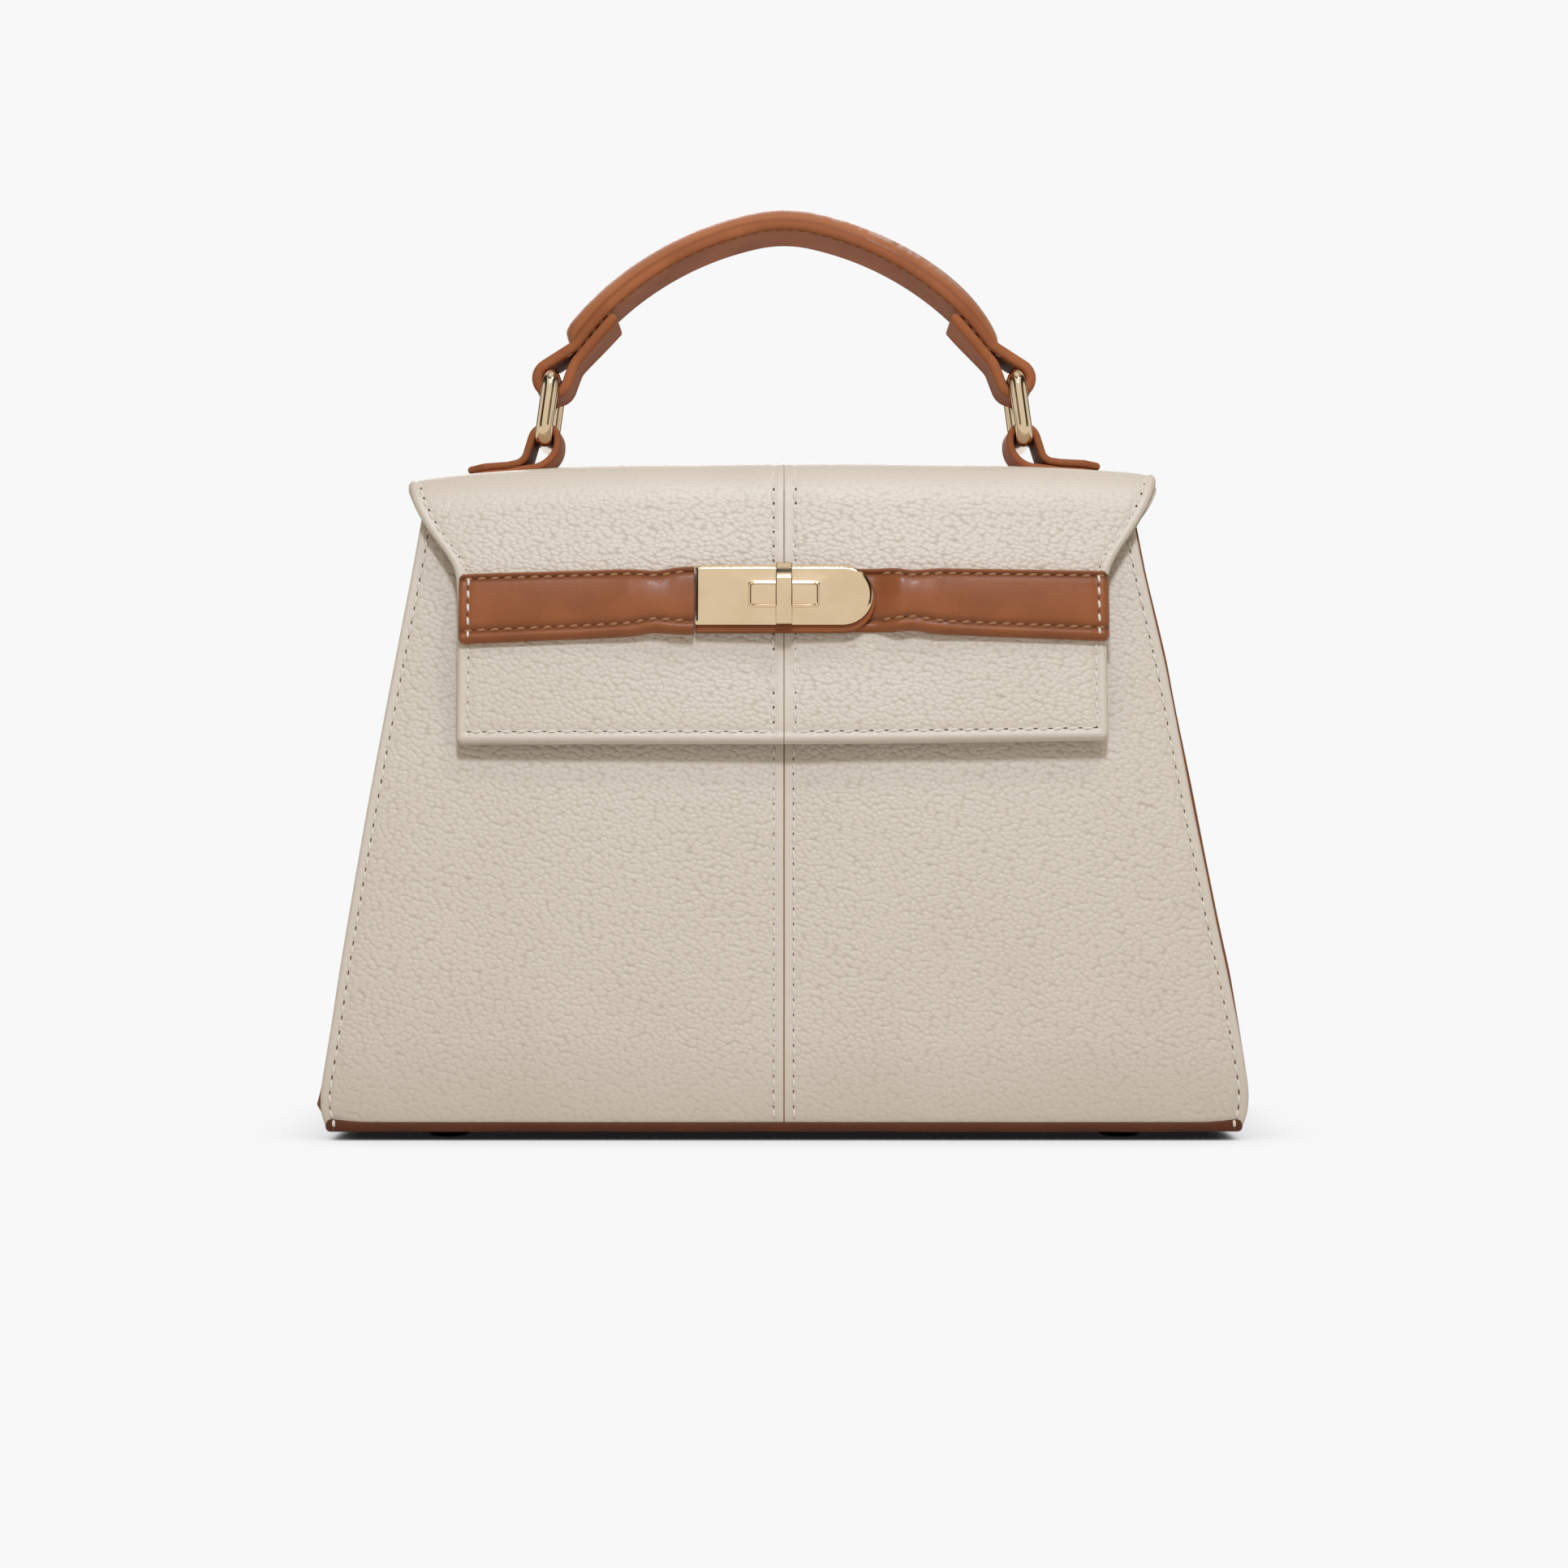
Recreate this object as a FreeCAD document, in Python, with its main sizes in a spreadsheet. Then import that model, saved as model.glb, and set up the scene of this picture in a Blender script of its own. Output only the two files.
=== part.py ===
import FreeCAD, Part
import math
import os
import re
import Sketcher

# Top handle bag: trapezoid body, fold-over flap with a turn-lock belt, and a padded handle on two rings.
# Millimetres, +Z up, the front faces -Y, the origin is on the floor under the middle of the base.

SIZES = [
    ("base_width", 240, "width of the front across its bottom edge"),
    ("base_depth", 100, "depth of the base over both lips"),
    ("mouth_width", 189, "width of the front across its top edge"),
    ("mouth_depth", 54, "depth over front and back at the top edge of the front"),
    ("panel_rise", 168, "height of the front panel, measured upright"),
    ("foot_height", 2.2, "height of the feet"),
    ("foot_radius", 6, "radius of a foot at the base"),
    ("foot_flat_radius", 4.6, "radius of the flat that a foot stands on"),
    ("foot_shank_radius", 1.3, "radius of a foot's shank"),
    ("foot_across", 31, "distance of a foot's middle from the end of the base"),
    ("foot_along", 16, "distance of a foot's middle from the front or the back of the base"),
    ("foot_washer_radius", 4.5, "radius of the washer over a foot's shank"),
    ("foot_washer_thick", 0.6, "thickness of the washer over a foot's shank"),
    ("base_leather", 1.6, "thickness of the base leather"),
    ("base_edge_radius", 0.7, "rounding of the base leather's lower edges"),
    ("base_board_thick", 1.5, "thickness of the board on the base"),
    ("base_board_inset", 3.6, "distance of the base board from the outside, all round"),
    ("lip_height", 3.0, "height of the base lip over the base's underside"),
    ("lip_leather", 1.4, "thickness of the base lip"),
    ("lip_clear", 0.15, "space between the base lip and the panel"),
    ("seat_gap", 0.3, "space under the foot of the panels"),
    ("seam_gap", 0.2, "space between two pieces at a seam"),
    ("panel_leather", 1.4, "thickness of the front and back leather"),
    ("panel_board_thick", 1.2, "thickness of the boards behind the leather"),
    ("board_inset", 3, "distance of a board from the edges of its panel"),
    ("gusset_leather", 1.4, "thickness of the side leather"),
    ("gusset_inset", 0.8, "distance of the side leather inside the panels' edges"),
    ("gusset_fold_low", 1, "depth of the side fold at the base"),
    ("gusset_fold_top", 6, "depth of the side fold at the top"),
    ("lining_thick", 0.8, "thickness of the lining"),
    ("lining_gap", 0.2, "space between the lining and what it lies on"),
    ("mouth_hem", 2, "distance of the lining's top edge under the panel's"),
    ("hinge_height", 4.7, "height of the flap's fold line over the front's top edge"),
    ("hinge_gap", 0.2, "space between the flap and its fold line"),
    ("flap_leather", 1.6, "thickness of the flap's outer leather"),
    ("flap_board_thick", 1, "thickness of the board in the flap's drop"),
    ("flap_lining_thick", 1, "thickness of the flap's inner leather"),
    ("flap_lining_inset", 0.8, "distance of the inner leather from the flap's edges"),
    ("flap_board_inset", 7, "distance of the flap's board from the flap's edges"),
    ("flap_board_clear", 9.1, "distance of the flap's board under the flap's shoulder"),
    ("flap_standoff", 3.7, "space between the flap and the front, filled by the snap"),
    ("flap_top_width", 201, "width of the flap across its wings"),
    ("flap_drop_width", 170.8, "width of the flap across its drop"),
    ("flap_wing_drop", 6, "distance of the wing tips under the flap's top"),
    ("flap_neck_drop", 24.6, "distance of the neck, where the wings end, under their tips"),
    ("flap_drop", 75.6, "height of the flap from its top down to its lower edge"),
    ("flap_shoulder_radius", 14, "outer rounding between the flap's top and drop"),
    ("flap_corner_radius", 1.5, "rounding of the flap's lower corners"),
    ("snap_rise", 11.3, "distance of the snap up the front from the flap's lower edge"),
    ("socket_radius", 8, "radius of the snap's socket"),
    ("socket_thick", 2.2, "thickness of the snap's socket"),
    ("socket_recess_radius", 4.2, "radius of the recess in the socket"),
    ("socket_recess_depth", 1.2, "depth of the recess in the socket"),
    ("stud_radius", 7, "radius of the snap's stud"),
    ("stud_thick", 1.2, "thickness of the stud's flange"),
    ("stud_nose_radius", 2.4, "radius of the stud's nose"),
    ("stud_nose_length", 1, "length of the stud's nose"),
    ("snap_shank_radius", 1.6, "radius of the shanks of the snap"),
    ("snap_washer_radius", 6.5, "radius of the washers of the snap"),
    ("snap_washer_thick", 0.8, "thickness of the washers of the snap"),
    ("hole_clear", 0.3, "space round a shank in its hole"),
    ("belt_width", 18.6, "width of the belt"),
    ("belt_thick", 2.6, "thickness of the belt"),
    ("belt_edge_radius", 0.8, "rounding of the belt's outer edges"),
    ("belt_drop", 2.2, "distance of the belt's middle under the lock's middle"),
    ("lock_drop", 7.7, "distance of the lock's middle down the front from the flap's neck"),
    ("tongue_thick", 1.2, "thickness of the belt's tongue under the lock"),
    ("tongue_end", 15, "distance of the tongue's end past the lock's middle"),
    ("tab_width", 17.6, "width of the leather tab under the lock plate"),
    ("tab_drop", 1, "distance of the tab's middle under the lock's middle"),
    ("tab_nose", 0.5, "distance that the tab shows past the plate's round end"),
    ("plate_length", 46.8, "length of the lock plate"),
    ("plate_width", 16.1, "width of the lock plate"),
    ("plate_thick", 1.6, "thickness of the lock plate"),
    ("plate_bevel", 0.5, "bevel of the lock plate's edge"),
    ("bezel_length", 18.8, "length of the rim round the slot, outside"),
    ("bezel_width", 7, "width of the rim round the slot, outside"),
    ("bezel_wall", 0.7, "thickness of the rim round the slot"),
    ("bezel_height", 0.5, "height of the rim over the plate"),
    ("slot_clear", 0.3, "space between the boss and the slot"),
    ("lock_base_length", 26, "length of the lock's base"),
    ("lock_base_width", 9, "width of the lock's base"),
    ("lock_base_thick", 0.8, "thickness of the lock's base"),
    ("boss_proud", 0.2, "height of the boss over the rim"),
    ("bore_depth", 3.2, "depth of the bore in the boss"),
    ("rivet_radius", 1.2, "radius of the lock base's rivets"),
    ("rivet_across", 10.4, "distance of a rivet from the lock's middle"),
    ("back_plate_length", 27, "length of the plate behind the lock"),
    ("back_plate_width", 9, "width of the plate behind the lock"),
    ("back_plate_thick", 0.8, "thickness of the plate behind the lock"),
    ("window_clear", 0.5, "space round a plate in its window"),
    ("screw_across", 18.4, "distance of a plate screw from the lock's middle"),
    ("screw_radius", 0.8, "radius of a plate screw"),
    ("screw_depth", 1, "depth of a plate screw in the plate"),
    ("screw_head_radius", 1.6, "radius of a plate screw's head"),
    ("screw_head_thick", 0.6, "thickness of a plate screw's head"),
    ("toggle_length", 16.5, "length of the turn bar"),
    ("toggle_width", 5.4, "width of the turn bar"),
    ("toggle_flat", 7.4, "length of the turn bar's middle facet"),
    ("toggle_thick", 3.4, "thickness of the turn bar in the middle"),
    ("toggle_tip_thick", 1.5, "thickness of the turn bar at its tips"),
    ("toggle_float", 0.3, "space between the turn bar and the boss"),
    ("toggle_edge_radius", 0.4, "rounding of the turn bar's outer edges"),
    ("post_radius", 1.5, "radius of the turn bar's post"),
    ("post_length", 2.8, "length of the turn bar's post"),
    ("post_clear", 0.3, "space round the post in its bore"),
    ("handle_forward", 3, "distance of the handle in front of the middle"),
    ("handle_tab_leather", 1.9, "thickness of one layer of a handle tab"),
    ("handle_tab_width", 18, "width of a handle tab"),
    ("handle_tab_end", 22.9, "distance of a handle tab's point past its ring"),
    ("handle_tab_point", 6.3, "length of a handle tab's point"),
    ("handle_tab_step", 1.6, "distance of the upper layer's end inside the lower one's"),
    ("handle_tab_bend", 6.5, "rounding at the root of a handle tab's loop"),
    ("handle_tab_slant_deg", 18, "slant of a handle tab's upper layer where it comes down from its loop"),
    ("layer_gap", 0.15, "space between two layers of a folded strap"),
    ("ring_wire_radius", 2.3, "radius of a ring's wire"),
    ("ring_height", 16.7, "height of a ring between the middles of its bars"),
    ("ring_depth", 24.6, "depth of a ring between the middles of its legs"),
    ("ring_corner_radius", 3.2, "rounding of a ring's corners at the middle of the wire"),
    ("ring_across", 34.9, "distance of a ring's lower bar from the end of the flap"),
    ("ring_lift", 8.2, "height of a ring's lower bar over the flap's top"),
    ("ring_lean_deg", 7.9, "lean of the rings towards the middle"),
    ("loop_clear", 0.4, "space round a ring's bar in a leather loop"),
    ("strap_thick", 2.7, "thickness of the handle strap"),
    ("strap_width", 24, "width of the handle strap at the grip"),
    ("strap_end_width", 18, "width of the handle strap in the rings"),
    ("strap_taper_start", 16.2, "distance from the ring's upper bar where the strap begins to narrow"),
    ("strap_taper_end", 5.2, "distance from the ring's upper bar where the strap is narrow"),
    ("arch_height", 41.2, "height of the strap's middle line over the rings' upper bars, at its top"),
    ("arch_inset", 7.6, "distance of the arch's end from the ring's upper bar, towards the middle"),
    ("arch_lift", 10.3, "height of the arch's end over the ring's upper bar"),
    ("arch_top_share", 0.42, "slope where the top of the arch ends, as a share of the arch's mean slope"),
    ("arch_end_share", 1.78, "slope where the arch ends, as a share of its mean slope"),
    ("arch_end_run", 1.6, "straight run of the strap after the arch"),
    ("strap_return_end", 9.7, "distance of the strap's turned end from the arch's end, towards the middle"),
    ("strap_root_deg", 70, "slope of the strap's turned end at the ring"),
    ("strap_root_bend", 7, "rounding of the strap's turned end over the ring"),
    ("strap_neck_bend", 24, "rounding of the strap where it widens round the ring"),
    ("pad_width", 20.4, "width of the padded cover"),
    ("pad_height", 5.9, "height of the padded cover over the strap"),
    ("pad_gap", 0.1, "space between the cover and the strap"),
    ("pad_end_share", 1.67, "slope where the cover ends, as a share of the arch's mean slope"),
    ("core_radius", 1.4, "radius of the cord in the cover"),
    ("core_lift", 1.9, "height of the cord's middle over the strap"),
    ("core_clear", 0.1, "space round the cord in the cover"),
    ("overrun", 5, "distance that a cut runs past what it cuts"),
]

doc = FreeCAD.newDocument("top_handle_bag")
sheet = doc.addObject("Spreadsheet::Sheet", "sizes")
for row, (alias, number, note) in enumerate(SIZES, 1):
    sheet.set(f"A{row}", note)
    sheet.set(f"B{row}", str(number))
    sheet.setAlias(f"B{row}", alias)
doc.recompute()

V = FreeCAD.Vector
ALIASES = {alias for alias, number, note in SIZES}
EQUAL_SHARE = 1e-9
ALONG_SHARE = 0.99
QUARTER_DEG = 90
X_AXIS = V(1, 0, 0)
Y_AXIS = V(0, 1, 0)
Z_AXIS = V(0, 0, 1)


def bound(text):
    """The formula with every size read from its cell."""
    return re.sub(r"[a-z][a-z_]*", lambda word: ("sizes." if word[0] in ALIASES else "") + word[0], text)


def value(text):
    """The number that a formula stands for now."""
    number = sheet.evalExpression(bound(text))
    return float(getattr(number, "Value", number))


# Lines that several pieces share, as formulas. The front leans back from the foot line to the mouth.
FOOT_Z = "(foot_height + base_leather + seat_gap)"
FOOT_Y = "(base_depth / 2 - lip_leather - lip_clear)"
LEAN = f"atan(({FOOT_Y} - mouth_depth / 2) / panel_rise)"
MOUTH_Z = f"({FOOT_Z} + panel_rise)"
SIDE_SLOPE = "((base_width - mouth_width) / 2 / panel_rise)"
FLAP_OUT = "(flap_standoff + flap_lining_thick + flap_board_thick + flap_leather)"
HINGE_Z = f"({MOUTH_Z} + hinge_height)"
FLAP_UNDER = f"({HINGE_Z} + hinge_gap)"
FLAP_TOP = f"({FLAP_UNDER} + flap_lining_thick + flap_leather)"
FLAP_LOW = f"({FLAP_TOP} - flap_drop)"
WING_Z = f"({FLAP_TOP} - flap_wing_drop)"
NECK_Z = f"({WING_Z} - flap_neck_drop)"


def half_depth(height, inset):
    return f"({FOOT_Y} - (({height}) - {FOOT_Z}) * tan({LEAN}) - ({inset}) / cos({LEAN}))"


def half_width(height, inset):
    return f"(base_width / 2 - (({height}) - {FOOT_Z}) * {SIDE_SLOPE} - ({inset}))"


def fold(height):
    return f"(gusset_fold_low + (gusset_fold_top - gusset_fold_low) * (({height}) - {FOOT_Z}) / panel_rise)"


def front_height(rise, out):
    return f"({FOOT_Z} + ({rise}) * cos({LEAN}) + ({out}) * sin({LEAN}))"


def front_rise(height):
    """Distance up the leaning front to a height over the floor."""
    return f"((({height}) - {FOOT_Z}) / cos({LEAN}))"


SNAP_RISE = f"({front_rise(FLAP_LOW)} + snap_rise)"
LOCK_RISE = f"({front_rise(NECK_Z)} - lock_drop)"


def bind(piece, **formulas):
    for name, text in formulas.items():
        piece.setExpression(name.replace("__", "."), bound(text))


def place(piece, x="0", y="0", z="0", axis=X_AXIS, turn="0"):
    piece.Placement = FreeCAD.Placement(V(), FreeCAD.Rotation(axis, QUARTER_DEG))
    bind(piece, Placement__Base__x=x, Placement__Base__y=y, Placement__Base__z=z)
    bind(piece, Placement__Rotation__Angle=turn)


def place_on_front(piece, rise="0", out="0"):
    """Local XZ lies in the leaning front, local -Y points outwards."""
    y = f"-{FOOT_Y} + ({rise}) * sin({LEAN}) - ({out}) * cos({LEAN})"
    place(piece, y=y, z=front_height(rise, out), turn=f"-{LEAN}")


def place_on_back(piece, rise="0", out="0"):
    """Local XZ lies in the leaning back, local +Y points outwards."""
    y = f"{FOOT_Y} - ({rise}) * sin({LEAN}) + ({out}) * cos({LEAN})"
    place(piece, y=y, z=front_height(rise, out), turn=LEAN)


def new_body(label):
    piece = doc.addObject("PartDesign::Body", label)
    piece.Label = label
    return piece


def sketch_on(body, plane, level="0"):
    sketch = body.newObject("Sketcher::SketchObject", f"{body.Label}_sketch")
    support = [feature for feature in body.Origin.OriginFeatures if feature.Role == plane]
    sketch.AttachmentSupport = [(support[0], "")]
    sketch.MapMode = "FlatFace"
    if level != "0":
        bind(sketch, AttachmentOffset__Base__z=level)
    return sketch


def pin(sketch, piece, end, x, y):
    """Holds one point of a sketch at its two formulas."""
    for kind, text, axis in (("DistanceX", x, -2), ("DistanceY", y, -1)):
        number = value(text)
        if abs(number) < EQUAL_SHARE:
            sketch.addConstraint(Sketcher.Constraint("PointOnObject", piece, end, axis))
        else:
            held = sketch.addConstraint(Sketcher.Constraint(kind, -1, 1, piece, end, number))
            sketch.setExpression(f"Constraints[{held}]", bound(text))


def near_end(geometry, spot):
    """Which end of a sketch line or arc is at a spot: 1 for its start, 2 for its end."""
    return 1 if (geometry.StartPoint - spot).Length < (geometry.EndPoint - spot).Length else 2


def draw(sketch, points, closed=True):
    """Lines through the points. A third item is the radius of an arc to the next point, bulging right."""
    spots = [V(value(point[0]), value(point[1]), 0) for point in points]
    count = len(points) if closed else len(points) - 1
    pieces = []
    for number in range(count):
        start, end = spots[number], spots[(number + 1) % len(points)]
        if len(points[number]) == 2:
            pieces.append(sketch.addGeometry(Part.LineSegment(start, end)))
            continue
        radius = value(points[number][2])
        chord = end - start
        right = V(chord.y, -chord.x, 0).normalize()
        rise = radius - math.sqrt(radius ** 2 - (chord.Length / 2) ** 2)
        pieces.append(sketch.addGeometry(Part.Arc(start, (start + end) / 2 + right * rise, end)))
    for number, piece in enumerate(pieces):
        arc = len(points[number]) == 3
        first = near_end(sketch.Geometry[piece], spots[number])
        pin(sketch, piece, first, points[number][0], points[number][1])
        if arc:
            held = sketch.addConstraint(Sketcher.Constraint("Radius", piece, value(points[number][2])))
            sketch.setExpression(f"Constraints[{held}]", bound(points[number][2]))
        after = pieces[(number + 1) % len(pieces)]
        if not closed and number == len(pieces) - 1:
            pin(sketch, piece, 3 - first, points[-1][0], points[-1][1])
            continue
        second = near_end(sketch.Geometry[after], spots[(number + 1) % len(points)])
        sketch.addConstraint(Sketcher.Constraint("Coincident", piece, 3 - first, after, second))


def box_points(left, right, low, high):
    return [(left, low), (right, low), (right, high), (left, high)]


def circle(sketch, x, y, radius):
    centre = V(value(x), value(y), 0)
    piece = sketch.addGeometry(Part.Circle(centre, Z_AXIS, value(radius)))
    pin(sketch, piece, 3, x, y)
    held = sketch.addConstraint(Sketcher.Constraint("Radius", piece, value(radius)))
    sketch.setExpression(f"Constraints[{held}]", bound(radius))


def pad(body, sketch, length, back=False, middle=False):
    feature = body.newObject("PartDesign::Pad", f"{body.Label}_pad")
    feature.Profile = sketch
    feature.Reversed = back
    feature.SideType = "Symmetric" if middle else "One side"
    bind(feature, Length=length)
    doc.recompute()
    return feature


def pocket(body, sketch, depth, back=False, middle=False):
    feature = body.newObject("PartDesign::Pocket", f"{body.Label}_pocket")
    feature.Profile = sketch
    feature.Reversed = back
    feature.SideType = "Symmetric" if middle else "One side"
    bind(feature, Length=depth)
    doc.recompute()
    return feature


def revolve(body, sketch):
    feature = body.newObject("PartDesign::Revolution", f"{body.Label}_turned")
    feature.Profile = sketch
    feature.ReferenceAxis = (sketch, ["V_Axis"])
    doc.recompute()
    return feature


def loft(body, kind, low, high):
    feature = body.newObject(f"PartDesign::{kind}Loft", f"{body.Label}_loft")
    feature.Profile = low
    feature.Sections = [high]
    feature.Ruled = True
    doc.recompute()
    return feature


def pipe(body, profile, spine):
    feature = body.newObject("PartDesign::AdditivePipe", f"{body.Label}_pipe")
    feature.Profile = profile
    feature.Spine = spine
    doc.recompute()
    return feature


def edges(feature, along, keep):
    """Names of the feature's edges that run along a direction and pass a test."""
    names = []
    for number, edge in enumerate(feature.Shape.Edges, 1):
        run = edge.Vertexes[-1].Point - edge.Vertexes[0].Point
        if run.Length > 0 and abs(run.normalize().dot(along)) > ALONG_SHARE and keep(edge.CenterOfMass):
            names.append(f"Edge{number}")
    return names


def dress(body, kind, names, size):
    base = body.Tip
    feature = body.newObject(f"PartDesign::{kind}", f"{body.Label}_{kind.lower()}")
    feature.Base = (base, names)
    bind(feature, **{"Radius" if kind == "Fillet" else "Size": size})
    doc.recompute()
    return feature


def mirror(label, source, normal=X_AXIS):
    piece = doc.addObject("Part::Mirroring", label)
    piece.Source = source
    piece.Base = V()
    piece.Normal = normal
    piece.Label = label
    return piece


def four_of(label, source):
    """The piece with its copies on the other three corners, as one group."""
    right_back = mirror(f"{label}_back", source, Y_AXIS)
    left_front = mirror(f"{label}_left", source)
    left_back = mirror(f"{label}_left_back", right_back)
    group = doc.addObject("Part::Compound", label)
    group.Links = [source, right_back, left_front, left_back]
    group.Label = label
    return group


# Base leather: a floor with a lip turned up along the front and the back.
base_panel = new_body("base_panel")
stud_x = "(base_width / 2 - foot_across)"
stud_y = "(base_depth / 2 - foot_along)"
lip_z = "(foot_height + lip_height)"
floor_z = "(foot_height + base_leather)"
lip_out = f"(base_depth / 2 - (lip_height - base_leather) * tan({LEAN}))"
lip_in = f"({lip_out} - lip_leather)"
profile = sketch_on(base_panel, "YZ_Plane")
draw(profile, [
    ("-base_depth / 2", "foot_height"), ("base_depth / 2", "foot_height"), ("base_depth / 2", floor_z),
    (lip_out, lip_z), (lip_in, lip_z), ("base_depth / 2 - lip_leather", floor_z),
    ("lip_leather - base_depth / 2", floor_z), (f"-{lip_in}", lip_z), (f"-{lip_out}", lip_z),
    ("-base_depth / 2", floor_z),
])
pad(base_panel, profile, "base_width", middle=True)
holes = sketch_on(base_panel, "XY_Plane", "foot_height")
for side_x in (stud_x, f"-{stud_x}"):
    for side_y in (stud_y, f"-{stud_y}"):
        circle(holes, side_x, side_y, "foot_shank_radius + hole_clear")
pocket(base_panel, holes, "base_leather + overrun", back=True)
low_edges = edges(base_panel.Tip, X_AXIS, lambda spot: spot.z < value("foot_height + base_edge_radius / 2"))
dress(base_panel, "Fillet", low_edges, "base_edge_radius")

# Stiff board that lies on the base leather, with room for the washers of the feet.
base_board = new_body("base_board")
board_x = "base_width / 2 - base_board_inset"
board_y = "base_depth / 2 - base_board_inset"
outline = sketch_on(base_board, "XY_Plane")
draw(outline, box_points(f"-({board_x})", board_x, f"-({board_y})", board_y))
pad(base_board, outline, "base_board_thick")
holes = sketch_on(base_board, "XY_Plane")
for side_x in (stud_x, f"-{stud_x}"):
    for side_y in (stud_y, f"-{stud_y}"):
        circle(holes, side_x, side_y, "foot_washer_radius + hole_clear")
pocket(base_board, holes, "base_board_thick + overrun", back=True)
place(base_board, z=floor_z)

# Foot: a low turned stud with a shank through the base leather.
foot = new_body("foot")
profile = sketch_on(foot, "XZ_Plane")
shank_top = f"({floor_z} + foot_washer_thick)"
draw(profile, [
    ("0", "0"), ("foot_flat_radius", "0"), ("foot_radius", "foot_height / 2"),
    ("foot_radius", "foot_height"), ("foot_shank_radius", "foot_height"),
    ("foot_shank_radius", shank_top), ("0", shank_top),
])
revolve(foot, profile)
place(foot, x=stud_x, y=f"-{stud_y}")
base_feet = four_of("base_feet", foot)

# Washer pressed over a foot's shank.
foot_washer = new_body("foot_washer")
rim = sketch_on(foot_washer, "XY_Plane")
circle(rim, "0", "0", "foot_washer_radius")
circle(rim, "0", "0", "foot_shank_radius + lip_clear")
pad(foot_washer, rim, "foot_washer_thick")
place(foot_washer, x=stud_x, y=f"-{stud_y}", z=floor_z)
foot_washers = four_of("foot_washers", foot_washer)

# Front leather: two halves that meet in the seam down the middle.
front_panel_right = new_body("front_panel_right")
outline = sketch_on(front_panel_right, "XZ_Plane")
front_top = f"panel_rise / cos({LEAN})"
draw(outline, [
    ("seam_gap / 2", "0"), ("base_width / 2", "0"),
    ("mouth_width / 2", front_top), ("seam_gap / 2", front_top),
])
pad(front_panel_right, outline, "panel_leather", back=True)
hole = sketch_on(front_panel_right, "XZ_Plane")
circle(hole, "0", SNAP_RISE, "snap_shank_radius + hole_clear")
pocket(front_panel_right, hole, "panel_leather + overrun", back=False)
place_on_front(front_panel_right)
front_panel_left = mirror("front_panel_left", front_panel_right)

# Board behind the front leather, with a hole that takes the socket's washer.
front_board = new_body("front_board")
board_low = "panel_leather + panel_board_thick"
board_half_low = f"base_width / 2 - board_inset - ({board_low}) * {SIDE_SLOPE}"
outline = sketch_on(front_board, "XZ_Plane")
draw(outline, [
    (f"-({board_half_low})", board_low), (board_half_low, board_low),
    ("mouth_width / 2 - board_inset", front_top), ("board_inset - mouth_width / 2", front_top),
])
pad(front_board, outline, "panel_board_thick", back=True)
hole = sketch_on(front_board, "XZ_Plane")
circle(hole, "0", SNAP_RISE, "snap_washer_radius + hole_clear")
pocket(front_board, hole, "panel_board_thick + overrun", back=False)
place_on_front(front_board, out="-panel_leather")

# Back leather: two halves like the front, taller, up to the fold line of the flap.
back_panel_right = new_body("back_panel_right")
back_rise = f"({HINGE_Z} - hinge_gap - {FOOT_Z})"
back_top = f"({back_rise} / cos({LEAN}))"
back_half_top = half_width(f"{back_rise} + {FOOT_Z}", "0")
outline = sketch_on(back_panel_right, "XZ_Plane")
draw(outline, [
    ("seam_gap / 2", "0"), ("base_width / 2", "0"), (back_half_top, back_top), ("seam_gap / 2", back_top),
])
pad(back_panel_right, outline, "panel_leather")
place_on_back(back_panel_right)
back_panel_left = mirror("back_panel_left", back_panel_right)

# Board behind the back leather.
back_board = new_body("back_board")
outline = sketch_on(back_board, "XZ_Plane")
draw(outline, [
    (f"-({board_half_low})", board_low), (board_half_low, board_low),
    ("mouth_width / 2 - board_inset", front_top), ("board_inset - mouth_width / 2", front_top),
])
pad(back_board, outline, "panel_board_thick")
place_on_back(back_board, out="-panel_leather")


def side_section(body, height):
    """One level of a side: a shallow fold that points into the bag."""
    sketch = sketch_on(body, "XY_Plane", height)
    outer = half_width(height, "gusset_inset")
    deep = f"({half_depth(height, 'panel_leather')} - seam_gap)"
    draw(sketch, [
        (outer, f"-{deep}"), (f"{outer} - {fold(height)}", "0"), (outer, deep),
        (f"{outer} - gusset_leather", deep), (f"{outer} - gusset_leather - {fold(height)}", "0"),
        (f"{outer} - gusset_leather", f"-{deep}"),
    ])
    return sketch


# Side leather, folded inwards, between the front and the back.
right_gusset = new_body("right_gusset")
loft(right_gusset, "Additive", side_section(right_gusset, FOOT_Z), side_section(right_gusset, MOUTH_Z))
left_gusset = mirror("left_gusset", right_gusset)


def lining_section(body, height, skin):
    """One level of the lining, a skin inside everything that it lies on."""
    sketch = sketch_on(body, "XY_Plane", height)
    wide = half_width(height, f"gusset_inset + gusset_leather + lining_gap + {skin}")
    waist = f"({wide} - {fold(height)})"
    deep = half_depth(height, f"panel_leather + panel_board_thick + lining_gap + {skin}")
    draw(sketch, [
        (wide, f"-{deep}"), (waist, "0"), (wide, deep),
        (f"-{wide}", deep), (f"-{waist}", "0"), (f"-{wide}", f"-{deep}"),
    ])
    return sketch


# Lining: an open bag of cloth that lies against the boards and the sides.
lining = new_body("lining")
cloth_low = f"({floor_z} + base_board_thick + lining_gap)"
cloth_top = f"({MOUTH_Z} - mouth_hem)"
loft(lining, "Additive", lining_section(lining, cloth_low, "0"), lining_section(lining, cloth_top, "0"))
hollow_low = lining_section(lining, f"({cloth_low} + lining_thick)", "lining_thick")
hollow_top = lining_section(lining, f"({cloth_top} + overrun)", "lining_thick")
loft(lining, "Subtractive", hollow_low, hollow_top)

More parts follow.
